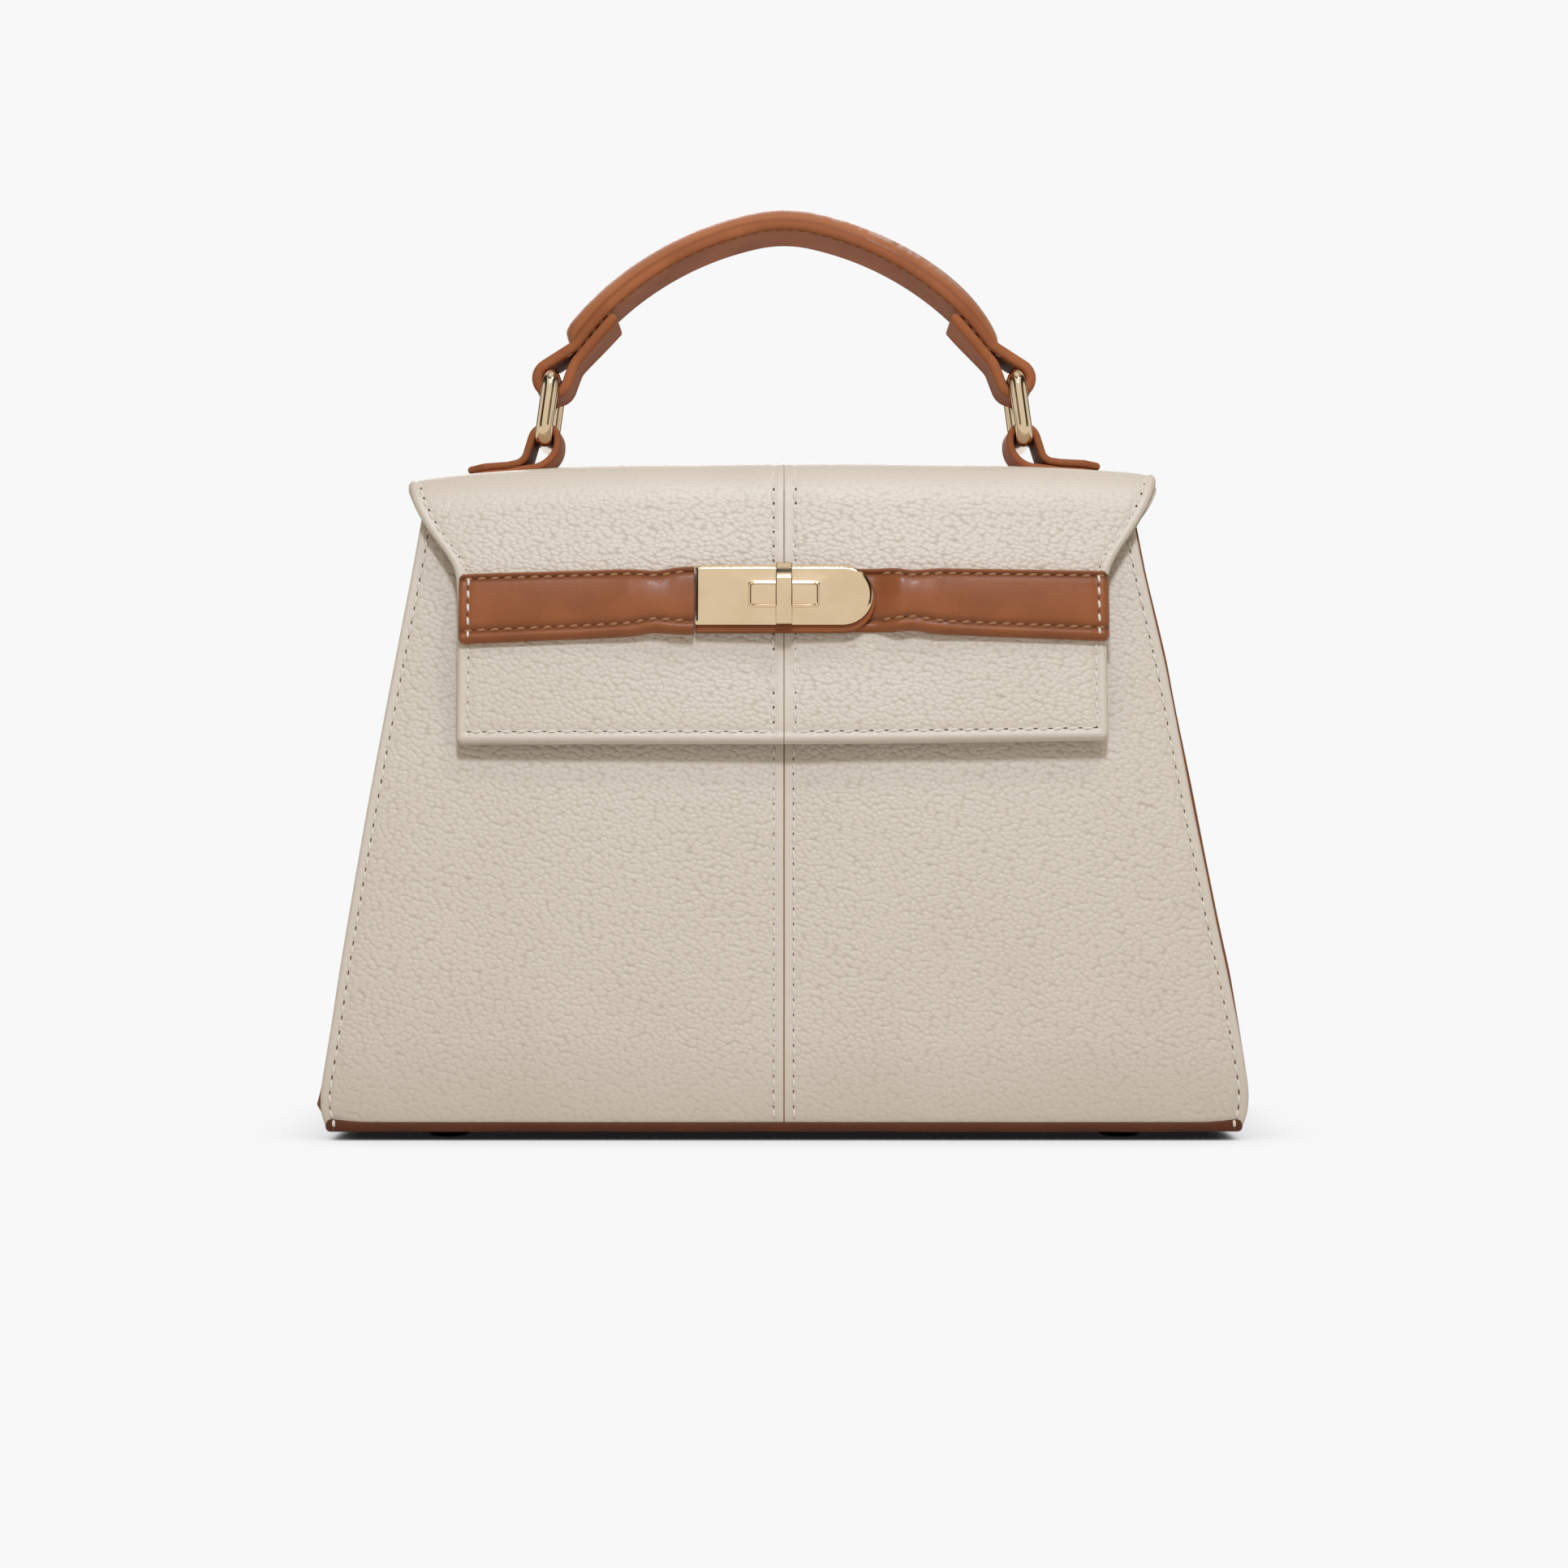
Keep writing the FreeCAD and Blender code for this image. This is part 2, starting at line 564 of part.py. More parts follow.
# Socket of the magnetic snap on the front, its shank through the seam.
magnet_socket = new_body("magnet_socket")
profile = sketch_on(magnet_socket, "XY_Plane")
shank_end = "panel_leather + snap_washer_thick"
recess_floor = "socket_recess_depth - socket_thick"
draw(profile, [
    ("0", shank_end), ("snap_shank_radius", shank_end), ("snap_shank_radius", "0"), ("socket_radius", "0"),
    ("socket_radius", "-socket_thick"), ("socket_recess_radius", "-socket_thick"),
    ("socket_recess_radius", recess_floor), ("0", recess_floor),
])
revolve(magnet_socket, profile)
place_on_front(magnet_socket, rise=SNAP_RISE)

# Washer that holds the socket from behind.
socket_washer = new_body("socket_washer")
rim = sketch_on(socket_washer, "XZ_Plane")
circle(rim, "0", "0", "snap_washer_radius")
circle(rim, "0", "0", "snap_shank_radius + lip_clear")
pad(socket_washer, rim, "snap_washer_thick", back=True)
place_on_front(socket_washer, rise=SNAP_RISE, out="-panel_leather")


def flap_profile(sketch, top, skin, out, end):
    """Side view of one flap layer: from the fold line over the top and down the front."""
    rear = half_depth(HINGE_Z, "hinge_gap")
    under = f"({top} - {skin})"
    face, back = f"-({out})", f"{skin} - ({out})"
    draw(sketch, [
        (rear, top), (f"-{half_depth(top, face)}", top), (f"-{half_depth(end, face)}", end),
        (f"-{half_depth(end, back)}", end), (f"-{half_depth(under, back)}", under), (rear, under),
    ])


def round_shoulder(body, top, skin, radius):
    """Rounds the bend between the top and the drop of a flap layer, outside and inside."""
    outer_z = value(f"{top} - {skin} / 2")
    outer = edges(body.Tip, X_AXIS, lambda spot: spot.y < 0 and spot.z > outer_z)
    dress(body, "Fillet", outer, radius)
    inner_z, near, front = value(f"{top} - {skin}"), value(skin) / 2, value("-mouth_depth / 4")
    inner = edges(body.Tip, X_AXIS, lambda spot: spot.y < front and abs(spot.z - inner_z) < near)
    dress(body, "Fillet", inner, f"{radius} - {skin}")


def wing_waste(sketch, inset):
    """What the straight sheet loses beside the drop, on the right."""
    drop = f"flap_drop_width / 2 - {inset}"
    wing = f"flap_top_width / 2 - {inset}"
    past = "flap_top_width / 2 + overrun"
    low = f"{FLAP_LOW} - overrun"
    draw(sketch, [
        (drop, low), (past, low), (past, WING_Z), (wing, WING_Z), (drop, NECK_Z),
    ])


# Flap leather: two halves with wings at the top corners, seamed down the middle.
flap_right = new_body("flap_right")
profile = sketch_on(flap_right, "YZ_Plane", "seam_gap / 2")
flap_profile(profile, FLAP_TOP, "flap_leather", FLAP_OUT, FLAP_LOW)
pad(flap_right, profile, "flap_top_width / 2 - seam_gap / 2")
round_shoulder(flap_right, FLAP_TOP, "flap_leather", "flap_shoulder_radius")
waste = sketch_on(flap_right, "XZ_Plane")
wing_waste(waste, "0")
pocket(flap_right, waste, "base_depth", middle=True)
hole = sketch_on(flap_right, "XZ_Plane")
circle(hole, "rivet_across", front_height(LOCK_RISE, FLAP_OUT), "rivet_radius + hole_clear")
pocket(flap_right, hole, "base_depth", middle=True)
low_edge = edges(flap_right.Tip, Y_AXIS, lambda spot: spot.z < value(f"{FLAP_LOW} + flap_leather")
                 and spot.x > value("flap_drop_width / 4"))
dress(flap_right, "Fillet", low_edge, "flap_corner_radius")
flap_left = mirror("flap_left", flap_right)

# Board in the drop of the flap, with openings for the lock's plate and the snap's washer.
flap_board = new_body("flap_board")
board_out = "(flap_standoff + flap_lining_thick)"
flap_low = f"({front_rise(FLAP_LOW)} + flap_board_inset)"
board_high = f"({front_rise(f'{FLAP_TOP} - flap_shoulder_radius')} - flap_board_clear)"
outline = sketch_on(flap_board, "XZ_Plane")
board_half = "flap_drop_width / 2 - flap_board_inset"
draw(outline, box_points(f"-({board_half})", board_half, flap_low, board_high))
pad(flap_board, outline, "flap_board_thick")
window = sketch_on(flap_board, "XZ_Plane")
window_half = "back_plate_length / 2 + window_clear"
window_low = f"{LOCK_RISE} - back_plate_width / 2 - window_clear"
window_high = f"{LOCK_RISE} + back_plate_width / 2 + window_clear"
draw(window, box_points(f"-({window_half})", window_half, window_low, window_high))
circle(window, "0", SNAP_RISE, "snap_washer_radius + hole_clear")
pocket(flap_board, window, "flap_board_thick + overrun", back=True)
place_on_front(flap_board, out=board_out)

# Inner leather of the flap, one sheet under both halves.
flap_lining = new_body("flap_lining")
profile = sketch_on(flap_lining, "YZ_Plane")
inner_top = f"({FLAP_UNDER} + flap_lining_thick)"
flap_profile(profile, inner_top, "flap_lining_thick", board_out, f"({FLAP_LOW} + flap_lining_inset)")
pad(flap_lining, profile, "flap_top_width - 2 * flap_lining_inset", middle=True)
round_shoulder(flap_lining, inner_top, "flap_lining_thick", "(flap_shoulder_radius - flap_leather)")
for side in ("right", "left"):
    waste = sketch_on(flap_lining, "XZ_Plane")
    if side == "left":
        waste.AttachmentOffset = FreeCAD.Placement(V(), FreeCAD.Rotation(Y_AXIS, 2 * QUARTER_DEG))
    wing_waste(waste, "flap_lining_inset")
    pocket(flap_lining, waste, "base_depth", middle=True)
hole = sketch_on(flap_lining, "XZ_Plane")
circle(hole, "0", front_height(SNAP_RISE, board_out), "snap_shank_radius + hole_clear + hole_clear")
pocket(flap_lining, hole, "base_depth", middle=True)

# Stud of the magnetic snap on the flap's inner leather.
magnet_stud = new_body("magnet_stud")
profile = sketch_on(magnet_stud, "XY_Plane")
stud_end = "-(flap_lining_thick + snap_washer_thick)"
nose_end = "stud_thick + stud_nose_length"
draw(profile, [
    ("0", nose_end), ("stud_nose_radius", nose_end), ("stud_nose_radius", "stud_thick"),
    ("stud_radius", "stud_thick"), ("stud_radius", "0"), ("snap_shank_radius", "0"),
    ("snap_shank_radius", stud_end), ("0", stud_end),
])
revolve(magnet_stud, profile)
place_on_front(magnet_stud, rise=SNAP_RISE, out="flap_standoff")

# Washer that holds the stud, in the opening of the flap's board.
stud_washer = new_body("stud_washer")
rim = sketch_on(stud_washer, "XZ_Plane")
circle(rim, "0", "0", "snap_washer_radius")
circle(rim, "0", "0", "snap_shank_radius + lip_clear")
pad(stud_washer, rim, "snap_washer_thick")
place_on_front(stud_washer, rise=SNAP_RISE, out=board_out)


def tab_points(grow):
    """Outline of the leather tab under the lock plate: square at the belt, half round at the nose."""
    half = f"(tab_width / 2 + {grow})"
    bend = "(plate_length / 2 + tab_nose - tab_width / 2)"
    left = "-plate_length / 2"
    return [
        (left, f"-tab_drop - {half}"), (bend, f"-tab_drop - {half}", half),
        (f"{bend} + {half}", "-tab_drop", half),
        (bend, f"-tab_drop + {half}"), (left, f"-tab_drop + {half}"),
    ]


BELT_LOW = "(-belt_drop - belt_width / 2)"
BELT_HIGH = "(belt_width / 2 - belt_drop)"


def round_belt(body):
    """Rounds the long outer edges of a belt half."""
    face, middle = value("belt_edge_radius / 2 - belt_thick"), value("-belt_drop")
    reach = value("belt_width / 2 - belt_edge_radius / 2")
    long_edges = edges(body.Tip, X_AXIS, lambda spot: spot.y < face and abs(spot.z - middle) > reach)
    dress(body, "Fillet", long_edges, "belt_edge_radius")


# Right half of the belt, hollowed at its inner end to a thin tongue under the tab.
belt_right = new_body("belt_right")
outline = sketch_on(belt_right, "XZ_Plane")
draw(outline, box_points("-tongue_end", "flap_drop_width / 2", BELT_LOW, BELT_HIGH))
pad(belt_right, outline, "belt_thick")
round_belt(belt_right)
seat = sketch_on(belt_right, "XZ_Plane", "tongue_thick")
seat_points = tab_points("seam_gap")
seat_points[0] = ("-tongue_end - overrun", seat_points[0][1])
seat_points[-1] = ("-tongue_end - overrun", seat_points[-1][1])
draw(seat, seat_points)
pocket(belt_right, seat, "belt_thick + overrun", back=True)
crest = sketch_on(belt_right, "XZ_Plane", "tongue_thick")
draw(crest, box_points("-tongue_end - overrun", "0", f"{BELT_LOW} - overrun", f"{BELT_HIGH} + overrun"))
pocket(belt_right, crest, "belt_thick + overrun", back=True)
holes = sketch_on(belt_right, "XZ_Plane")
circle(holes, "rivet_across", "0", "rivet_radius + hole_clear")
circle(holes, "-rivet_across", "0", "rivet_radius + hole_clear")
pocket(belt_right, holes, "belt_thick + overrun", back=True)
place_on_front(belt_right, rise=LOCK_RISE, out=FLAP_OUT)

# Left half of the belt, up to the plate.
belt_left = new_body("belt_left")
outline = sketch_on(belt_left, "XZ_Plane")
draw(outline, box_points("-flap_drop_width / 2", "-plate_length / 2 - seam_gap", BELT_LOW, BELT_HIGH))
pad(belt_left, outline, "belt_thick")
round_belt(belt_left)
place_on_front(belt_left, rise=LOCK_RISE, out=FLAP_OUT)

# Leather tab that carries the lock plate, with a window for the lock's base and holes for the screws.
lock_tab = new_body("lock_tab")
outline = sketch_on(lock_tab, "XZ_Plane", "tongue_thick")
draw(outline, tab_points("0"))
pad(lock_tab, outline, "belt_thick - tongue_thick")
window = sketch_on(lock_tab, "XZ_Plane")
base_half = "lock_base_length / 2 + window_clear"
base_tall = "lock_base_width / 2 + window_clear"
draw(window, box_points(f"-({base_half})", base_half, f"-({base_tall})", base_tall))
for side in ("screw_across", "-screw_across"):
    circle(window, side, "0", "screw_radius + lip_clear")
pocket(lock_tab, window, "belt_thick + overrun", back=True)
recess = sketch_on(lock_tab, "XZ_Plane")
for side in ("screw_across", "-screw_across"):
    circle(recess, side, "0", "screw_head_radius + lip_clear")
pocket(lock_tab, recess, "tongue_thick + screw_head_thick", back=True)
place_on_front(lock_tab, rise=LOCK_RISE, out=FLAP_OUT)

# Lock plate: polished, square at the left, half round at the right, with a rim round its slot.
lock_plate = new_body("lock_plate")
outline = sketch_on(lock_plate, "XZ_Plane", "belt_thick")
plate_half = "plate_width / 2"
plate_bend = "(plate_length / 2 - plate_width / 2)"
draw(outline, [
    ("-plate_length / 2", f"-{plate_half}"), (plate_bend, f"-{plate_half}", plate_half),
    (f"{plate_bend} + {plate_half}", "0", plate_half),
    (plate_bend, plate_half), ("-plate_length / 2", plate_half),
])
pad(lock_plate, outline, "plate_thick")
plate_face = value("belt_thick + plate_thick")
rim_names = [f"Edge{number}" for number, edge in enumerate(lock_plate.Tip.Shape.Edges, 1)
             if all(abs(-corner.Y - plate_face) < EQUAL_SHARE for corner in edge.Vertexes)]
dress(lock_plate, "Chamfer", rim_names, "plate_bevel")
rim = sketch_on(lock_plate, "XZ_Plane", "belt_thick")
draw(rim, box_points("-bezel_length / 2", "bezel_length / 2", "-bezel_width / 2", "bezel_width / 2"))
pad(lock_plate, rim, "plate_thick + bezel_height")
slot = sketch_on(lock_plate, "XZ_Plane")
slot_half = "bezel_length / 2 - bezel_wall"
slot_tall = "bezel_width / 2 - bezel_wall"
draw(slot, box_points(f"-({slot_half})", slot_half, f"-({slot_tall})", slot_tall))
pocket(lock_plate, slot, "belt_thick + plate_thick + bezel_height + overrun", back=True)
holes = sketch_on(lock_plate, "XZ_Plane", "belt_thick")
for side in ("screw_across", "-screw_across"):
    circle(holes, side, "0", "screw_radius + lip_clear")
pocket(lock_plate, holes, "screw_depth + lip_clear", back=True)
place_on_front(lock_plate, rise=LOCK_RISE, out=FLAP_OUT)

# Screws that hold the plate to the tab, heads sunk in the back of the tab.
plate_screw = new_body("plate_screw")
profile = sketch_on(plate_screw, "XY_Plane")
head_low = "-tongue_thick"
head_top = "-(tongue_thick + screw_head_thick)"
screw_end = "-(belt_thick + screw_depth)"
draw(profile, [
    ("0", head_low), ("screw_head_radius", head_low), ("screw_head_radius", head_top),
    ("screw_radius", head_top), ("screw_radius", screw_end), ("0", screw_end),
])
revolve(plate_screw, profile)
place_on_front(plate_screw, rise=LOCK_RISE, out=FLAP_OUT)
bind(plate_screw, Placement__Base__x="screw_across")
plate_screw_left = mirror("plate_screw_left", plate_screw)
plate_screws = doc.addObject("Part::Compound", "plate_screws")
plate_screws.Links = [plate_screw, plate_screw_left]
plate_screws.Label = "plate_screws"

# Base of the lock: a flange on the tongue, a boss through the slot, and two rivets through the flap.
lock_base = new_body("lock_base")
flange = sketch_on(lock_base, "XZ_Plane", "tongue_thick")
flange_half = "lock_base_length / 2"
flange_tall = "lock_base_width / 2"
draw(flange, box_points(f"-{flange_half}", flange_half, f"-{flange_tall}", flange_tall))
pad(lock_base, flange, "lock_base_thick")
boss = sketch_on(lock_base, "XZ_Plane", "tongue_thick")
boss_half = f"{slot_half} - slot_clear"
boss_tall = f"{slot_tall} - slot_clear"
draw(boss, box_points(f"-({boss_half})", boss_half, f"-({boss_tall})", boss_tall))
boss_top = "(belt_thick + plate_thick + bezel_height + boss_proud)"
pad(lock_base, boss, f"{boss_top} - tongue_thick")
bore = sketch_on(lock_base, "XZ_Plane", boss_top)
circle(bore, "0", "0", "post_radius + post_clear")
pocket(lock_base, bore, "bore_depth")
rivets = sketch_on(lock_base, "XZ_Plane", "tongue_thick")
for side in ("rivet_across", "-rivet_across"):
    circle(rivets, side, "0", "rivet_radius")
lock_base.newObject("PartDesign::Pad", "lock_base_rivets").Profile = rivets
lock_base.Tip.Reversed = True
lock_base.Tip.AllowMultiFace = True
bind(lock_base.Tip, Length="tongue_thick + flap_leather + back_plate_thick")
doc.recompute()
place_on_front(lock_base, rise=LOCK_RISE, out=FLAP_OUT)

# Plate behind the flap's leather that the rivets of the lock's base are closed on.
lock_back_plate = new_body("lock_back_plate")
outline = sketch_on(lock_back_plate, "XZ_Plane")
back_half = "back_plate_length / 2"
back_tall = "back_plate_width / 2"
draw(outline, box_points(f"-{back_half}", back_half, f"-{back_tall}", back_tall))
for side in ("rivet_across", "-rivet_across"):
    circle(outline, side, "0", "rivet_radius + lip_clear")
pad(lock_back_plate, outline, "back_plate_thick", back=True)
place_on_front(lock_back_plate, rise=LOCK_RISE, out=f"{FLAP_OUT} - flap_leather")

# Turn bar: a bridge with a flat middle facet and sloping tips.
lock_toggle = new_body("lock_toggle")
profile = sketch_on(lock_toggle, "YZ_Plane")
bar_seat = f"({boss_top} + toggle_float)"
bar_tip, bar_face = f"-{bar_seat} - toggle_tip_thick", f"-{bar_seat} - toggle_thick"
draw(profile, [
    (f"-{bar_seat}", "-toggle_length / 2"), (f"-{bar_seat}", "toggle_length / 2"),
    (bar_tip, "toggle_length / 2"), (bar_face, "toggle_flat / 2"),
    (bar_face, "-toggle_flat / 2"), (bar_tip, "-toggle_length / 2"),
])
pad(lock_toggle, profile, "toggle_width", middle=True)
outer_edges = [f"Edge{number}" for number, edge in enumerate(lock_toggle.Tip.Shape.Edges, 1)
               if -edge.CenterOfMass.y > value(f"{bar_seat} + toggle_tip_thick / 2 + toggle_edge_radius")
               and abs(edge.CenterOfMass.x) > value("toggle_width / 4")]
dress(lock_toggle, "Fillet", outer_edges, "toggle_edge_radius")
place_on_front(lock_toggle, rise=LOCK_RISE, out=FLAP_OUT)

# Post of the turn bar, which turns in the boss.
toggle_post = doc.addObject("Part::Cylinder", "toggle_post")
toggle_post.Label = "toggle_post"
bind(toggle_post, Radius="post_radius", Height="post_length")
post_out = f"({FLAP_OUT} + {bar_seat} - post_length)"
place(toggle_post, y=f"-{FOOT_Y} + {LOCK_RISE} * sin({LEAN}) - {post_out} * cos({LEAN})",
      z=front_height(LOCK_RISE, post_out), turn=f"90 deg - {LEAN}")


def strap_side(corners, shift):
    """Edges of the path through corners (x, z, radius), moved to the left by a shift."""
    spots = [V(x, 0, z) for x, z, radius in corners]
    start = spots[0]
    parts = []
    for number in range(1, len(spots)):
        along = (spots[number] - spots[number - 1]).normalize()
        left = V(-along.z, 0, along.x)
        if number == len(spots) - 1:
            parts.append(Part.LineSegment(start + left * shift, spots[number] + left * shift).toShape())
            break
        away = (spots[number + 1] - spots[number]).normalize()
        turn = math.atan2(along.x * away.z - along.z * away.x, along.dot(away))
        radius = corners[number][2]
        reach = radius * math.tan(abs(turn) / 2)
        enter, leave = spots[number] - along * reach, spots[number] + away * reach
        if (enter - start).dot(along) > EQUAL_SHARE:
            parts.append(Part.LineSegment(start + left * shift, enter + left * shift).toShape())
        way = math.copysign(1, turn)
        centre = enter + left * (way * radius)
        arms = [(spot - centre).normalize() for spot in (enter, leave)]
        arms.insert(1, (arms[0] + arms[1]).normalize())
        parts.append(Part.Arc(*[centre + arm * (radius - way * shift) for arm in arms]).toShape())
        start = leave
    return parts


def strap_solid(corners, thick, wide):
    """A strap of even thickness along a path in XZ, as wide as given across Y."""
    left = strap_side(corners, thick / 2)
    right = strap_side(corners, -thick / 2)
    ends = [(left[0].Vertexes[0], right[0].Vertexes[0]), (left[-1].Vertexes[-1], right[-1].Vertexes[-1])]
    caps = [Part.LineSegment(one.Point, other.Point).toShape() for one, other in ends]
    border = Part.Wire(Part.sortEdges(left + right + caps)[0])
    sheet_face = Part.Face(border)
    sheet_face.translate(V(0, -wide / 2, 0))
    return sheet_face.extrude(V(0, wide, 0))


def plan_solid(points, low, high):
    """An upright prism over a plan outline."""
    border = Part.makePolygon([V(x, y, low) for x, y in points + points[:1]])
    return Part.Face(border).extrude(V(0, 0, high - low))


def around(centre_x, centre_z, radius, first_deg, last_deg, count):
    """Corners of a path that wraps a bar, from one tangent to another, for bends of that radius."""
    step = (last_deg - first_deg) / count
    reach = radius / math.cos(math.radians(step / 2))
    turns = [math.radians(first_deg + step * (number + 1 / 2)) for number in range(count)]
    return [(centre_x + reach * math.cos(turn), centre_z + reach * math.sin(turn), radius)
            for turn in turns]


# Lines of the handle: the rings' bars, and an arch of three arcs whose slopes follow its mean slope.
HANDLE_Y = "-handle_forward"
RING_X = "(flap_top_width / 2 - ring_across)"
RING_Z = f"({FLAP_TOP} + ring_lift)"
BAR_X = f"({RING_X} - ring_height * sin(ring_lean_deg))"
BAR_Z = f"({RING_Z} + ring_height * cos(ring_lean_deg))"
ARCH_Z = f"({BAR_Z} + arch_height)"
ARCH_HALF = f"({BAR_X} - arch_inset)"
ARCH_FALL = "(arch_height - arch_lift)"
ARCH_SLOPE = f"atan({ARCH_FALL} / {ARCH_HALF})"
TOP_SLOPE = f"(arch_top_share * {ARCH_SLOPE})"
END_SLOPE = f"(arch_end_share * {ARCH_SLOPE})"
SIDE_RUN = f"(sin({END_SLOPE}) - sin({TOP_SLOPE}))"
SIDE_FALL = f"(cos({TOP_SLOPE}) - cos({END_SLOPE}))"
ARCH_SHARE = f"(sin({TOP_SLOPE}) * {SIDE_FALL} - {SIDE_RUN} * (1 - cos({TOP_SLOPE})))"
TOP_RADIUS = f"(({ARCH_HALF} * {SIDE_FALL} - {ARCH_FALL} * {SIDE_RUN}) / {ARCH_SHARE})"
SIDE_RADIUS = f"(({ARCH_FALL} * sin({TOP_SLOPE}) - {ARCH_HALF} * (1 - cos({TOP_SLOPE}))) / {ARCH_SHARE})"

# Handle tab: a strap folded round the lower bar of a ring, both layers sewn flat on the flap's top.
thick, gap = value("handle_tab_leather"), value("layer_gap")
ring_x, ring_z, top_z = value(RING_X), value(RING_Z), value(FLAP_TOP)
wrap = value("ring_wire_radius + loop_clear") + thick / 2
tip = ring_x + value("handle_tab_end")
step, bend = value("handle_tab_step"), value("handle_tab_bend")
low_z = top_z + thick / 2
high_z = low_z + thick + gap
slant_deg = value("handle_tab_slant_deg")
slant = math.radians(slant_deg)
loop_bars = around(ring_x, ring_z, wrap, 2 * QUARTER_DEG, slant_deg, 2)
leave_x, leave_z = ring_x + wrap * math.cos(slant), ring_z + wrap * math.sin(slant)
down_x = leave_x + (leave_z - high_z) * math.tan(slant)
tab_path = [(tip, low_z, 0), (ring_x - wrap, low_z, bend)] + loop_bars
tab_path += [(down_x, high_z, thick), (tip - step, high_z, 0)]
half, point = value("handle_tab_width / 2"), value("handle_tab_point")
nose = half / 4
tab_plan = [(0, -half), (tip - point, -half), (tip, -nose), (tip, nose), (tip - point, half), (0, half)]
tab_shape = strap_solid(tab_path, thick, 2 * half).common(plan_solid(tab_plan, 0, 2 * ring_z))
right_handle_tab = doc.addObject("Part::Feature", "right_handle_tab")
right_handle_tab.Label = "right_handle_tab"
right_handle_tab.Shape = tab_shape.Solids[0]
right_handle_tab.Placement = FreeCAD.Placement(V(0, value(HANDLE_Y), 0), FreeCAD.Rotation())
left_handle_tab = mirror("left_handle_tab", right_handle_tab)

# Ring: round wire bent to a rounded rectangle that stands across the bag.
right_ring = new_body("right_ring")
path = sketch_on(right_ring, "YZ_Plane")
arm, round_by = "ring_depth / 2", "ring_corner_radius"
inner = f"({arm} - {round_by})"
draw(path, [
    (arm, "ring_height / 2"), (arm, f"ring_height - {round_by}", round_by), (inner, "ring_height"),
    (f"-{inner}", "ring_height", round_by), (f"-({arm})", f"ring_height - {round_by}"),
    (f"-({arm})", round_by, round_by), (f"-{inner}", "0"), (inner, "0", round_by), (arm, round_by),
])
wire = sketch_on(right_ring, "XY_Plane", "ring_height / 2")
circle(wire, "0", arm, "ring_wire_radius")
pipe(right_ring, wire, path)
place(right_ring, x=RING_X, y=HANDLE_Y, z=RING_Z, axis=Y_AXIS, turn="-ring_lean_deg")
left_ring = mirror("left_ring", right_ring)

# Handle strap: over the arch, round the upper bar of each ring, and back under the arch.
thick = value("strap_thick")
apex_z, apex_r, flank_r = value(ARCH_Z), value(TOP_RADIUS), value(SIDE_RADIUS)
apex_a, flank_a = math.radians(value(TOP_SLOPE)), math.radians(value(END_SLOPE))
bar_x, bar_z = value(BAR_X), value(BAR_Z)
peak_z = apex_z + apex_r * (1 / math.cos(apex_a) - 1)
flank_reach = flank_r * math.tan((flank_a - apex_a) / 2)
turn_run = apex_r * math.tan(apex_a) + flank_reach
turn_x, turn_z = turn_run * math.cos(apex_a), peak_z - turn_run * math.sin(apex_a)
neck_run = flank_reach + value("arch_end_run")
neck_x, neck_z = turn_x + neck_run * math.cos(flank_a), turn_z - neck_run * math.sin(flank_a)
wrap = value("ring_wire_radius + loop_clear") + thick / 2
reach = math.hypot(bar_x - neck_x, bar_z - neck_z)
entry_a = math.atan2(bar_z - neck_z, bar_x - neck_x) + math.asin(wrap / reach)
root_a = math.radians(value("strap_root_deg"))
entry_deg = math.degrees(entry_a) + QUARTER_DEG
root_deg = -math.degrees(root_a) - QUARTER_DEG
loop_bars = around(bar_x, bar_z, wrap, entry_deg, root_deg, 3)
middle_x = turn_x - flank_reach * math.cos(apex_a) - flank_r * math.sin(apex_a)
middle_z = turn_z + flank_reach * math.sin(apex_a) - flank_r * math.cos(apex_a)
under_r = flank_r - thick - value("layer_gap")
end_a = math.asin((value(f"{ARCH_HALF} - strap_return_end") - middle_x) / under_r)
end_x, end_z = middle_x + under_r * math.sin(end_a), middle_z + under_r * math.cos(end_a)
last_x, last_z = middle_x + under_r * math.sin(flank_a), middle_z + under_r * math.cos(flank_a)
leave_x = bar_x + wrap * math.cos(math.radians(root_deg))
leave_z = bar_z + wrap * math.sin(math.radians(root_deg))
run = V(last_x - end_x, 0, last_z - end_z).normalize()
rise = V(-math.cos(root_a), 0, math.sin(root_a))
cross = run.x * rise.z - run.z * rise.x
along = ((leave_x - end_x) * rise.z - (leave_z - end_z) * rise.x) / cross
root_x, root_z = end_x + run.x * along, end_z + run.z * along
neck_fit = value("arch_end_run") / math.tan(max(abs(entry_a + flank_a) / 2, EQUAL_SHARE))
neck_bend = min(value("strap_neck_bend"), neck_fit)
half_path = [(turn_x, turn_z, flank_r), (neck_x, neck_z, neck_bend)] + loop_bars
half_path += [(root_x, root_z, value("strap_root_bend")), (end_x, end_z, 0)]
other_half = [(-x, z, radius) for x, z, radius in reversed(half_path)]
strap_path = other_half + [(0, peak_z, apex_r)] + half_path
grip, narrow = value("strap_width / 2"), value("strap_end_width / 2")
taper, slim = bar_x - value("strap_taper_start"), bar_x - value("strap_taper_end")
past = bar_x + value("strap_width")
edge_line = [(taper, grip), (slim, narrow), (past, narrow)]
strap_plan = [(x, -y) for x, y in edge_line] + edge_line[::-1]
strap_plan += [(-x, y) for x, y in edge_line] + [(-x, -y) for x, y in reversed(edge_line)]
strap_shape = strap_solid(strap_path, thick, 2 * grip).common(plan_solid(strap_plan, 0, 2 * apex_z))
handle_strap = doc.addObject("Part::Feature", "handle_strap")
handle_strap.Label = "handle_strap"
handle_strap.Shape = strap_shape.Solids[0]
handle_strap.Placement = FreeCAD.Placement(V(0, value(HANDLE_Y), 0), FreeCAD.Rotation())


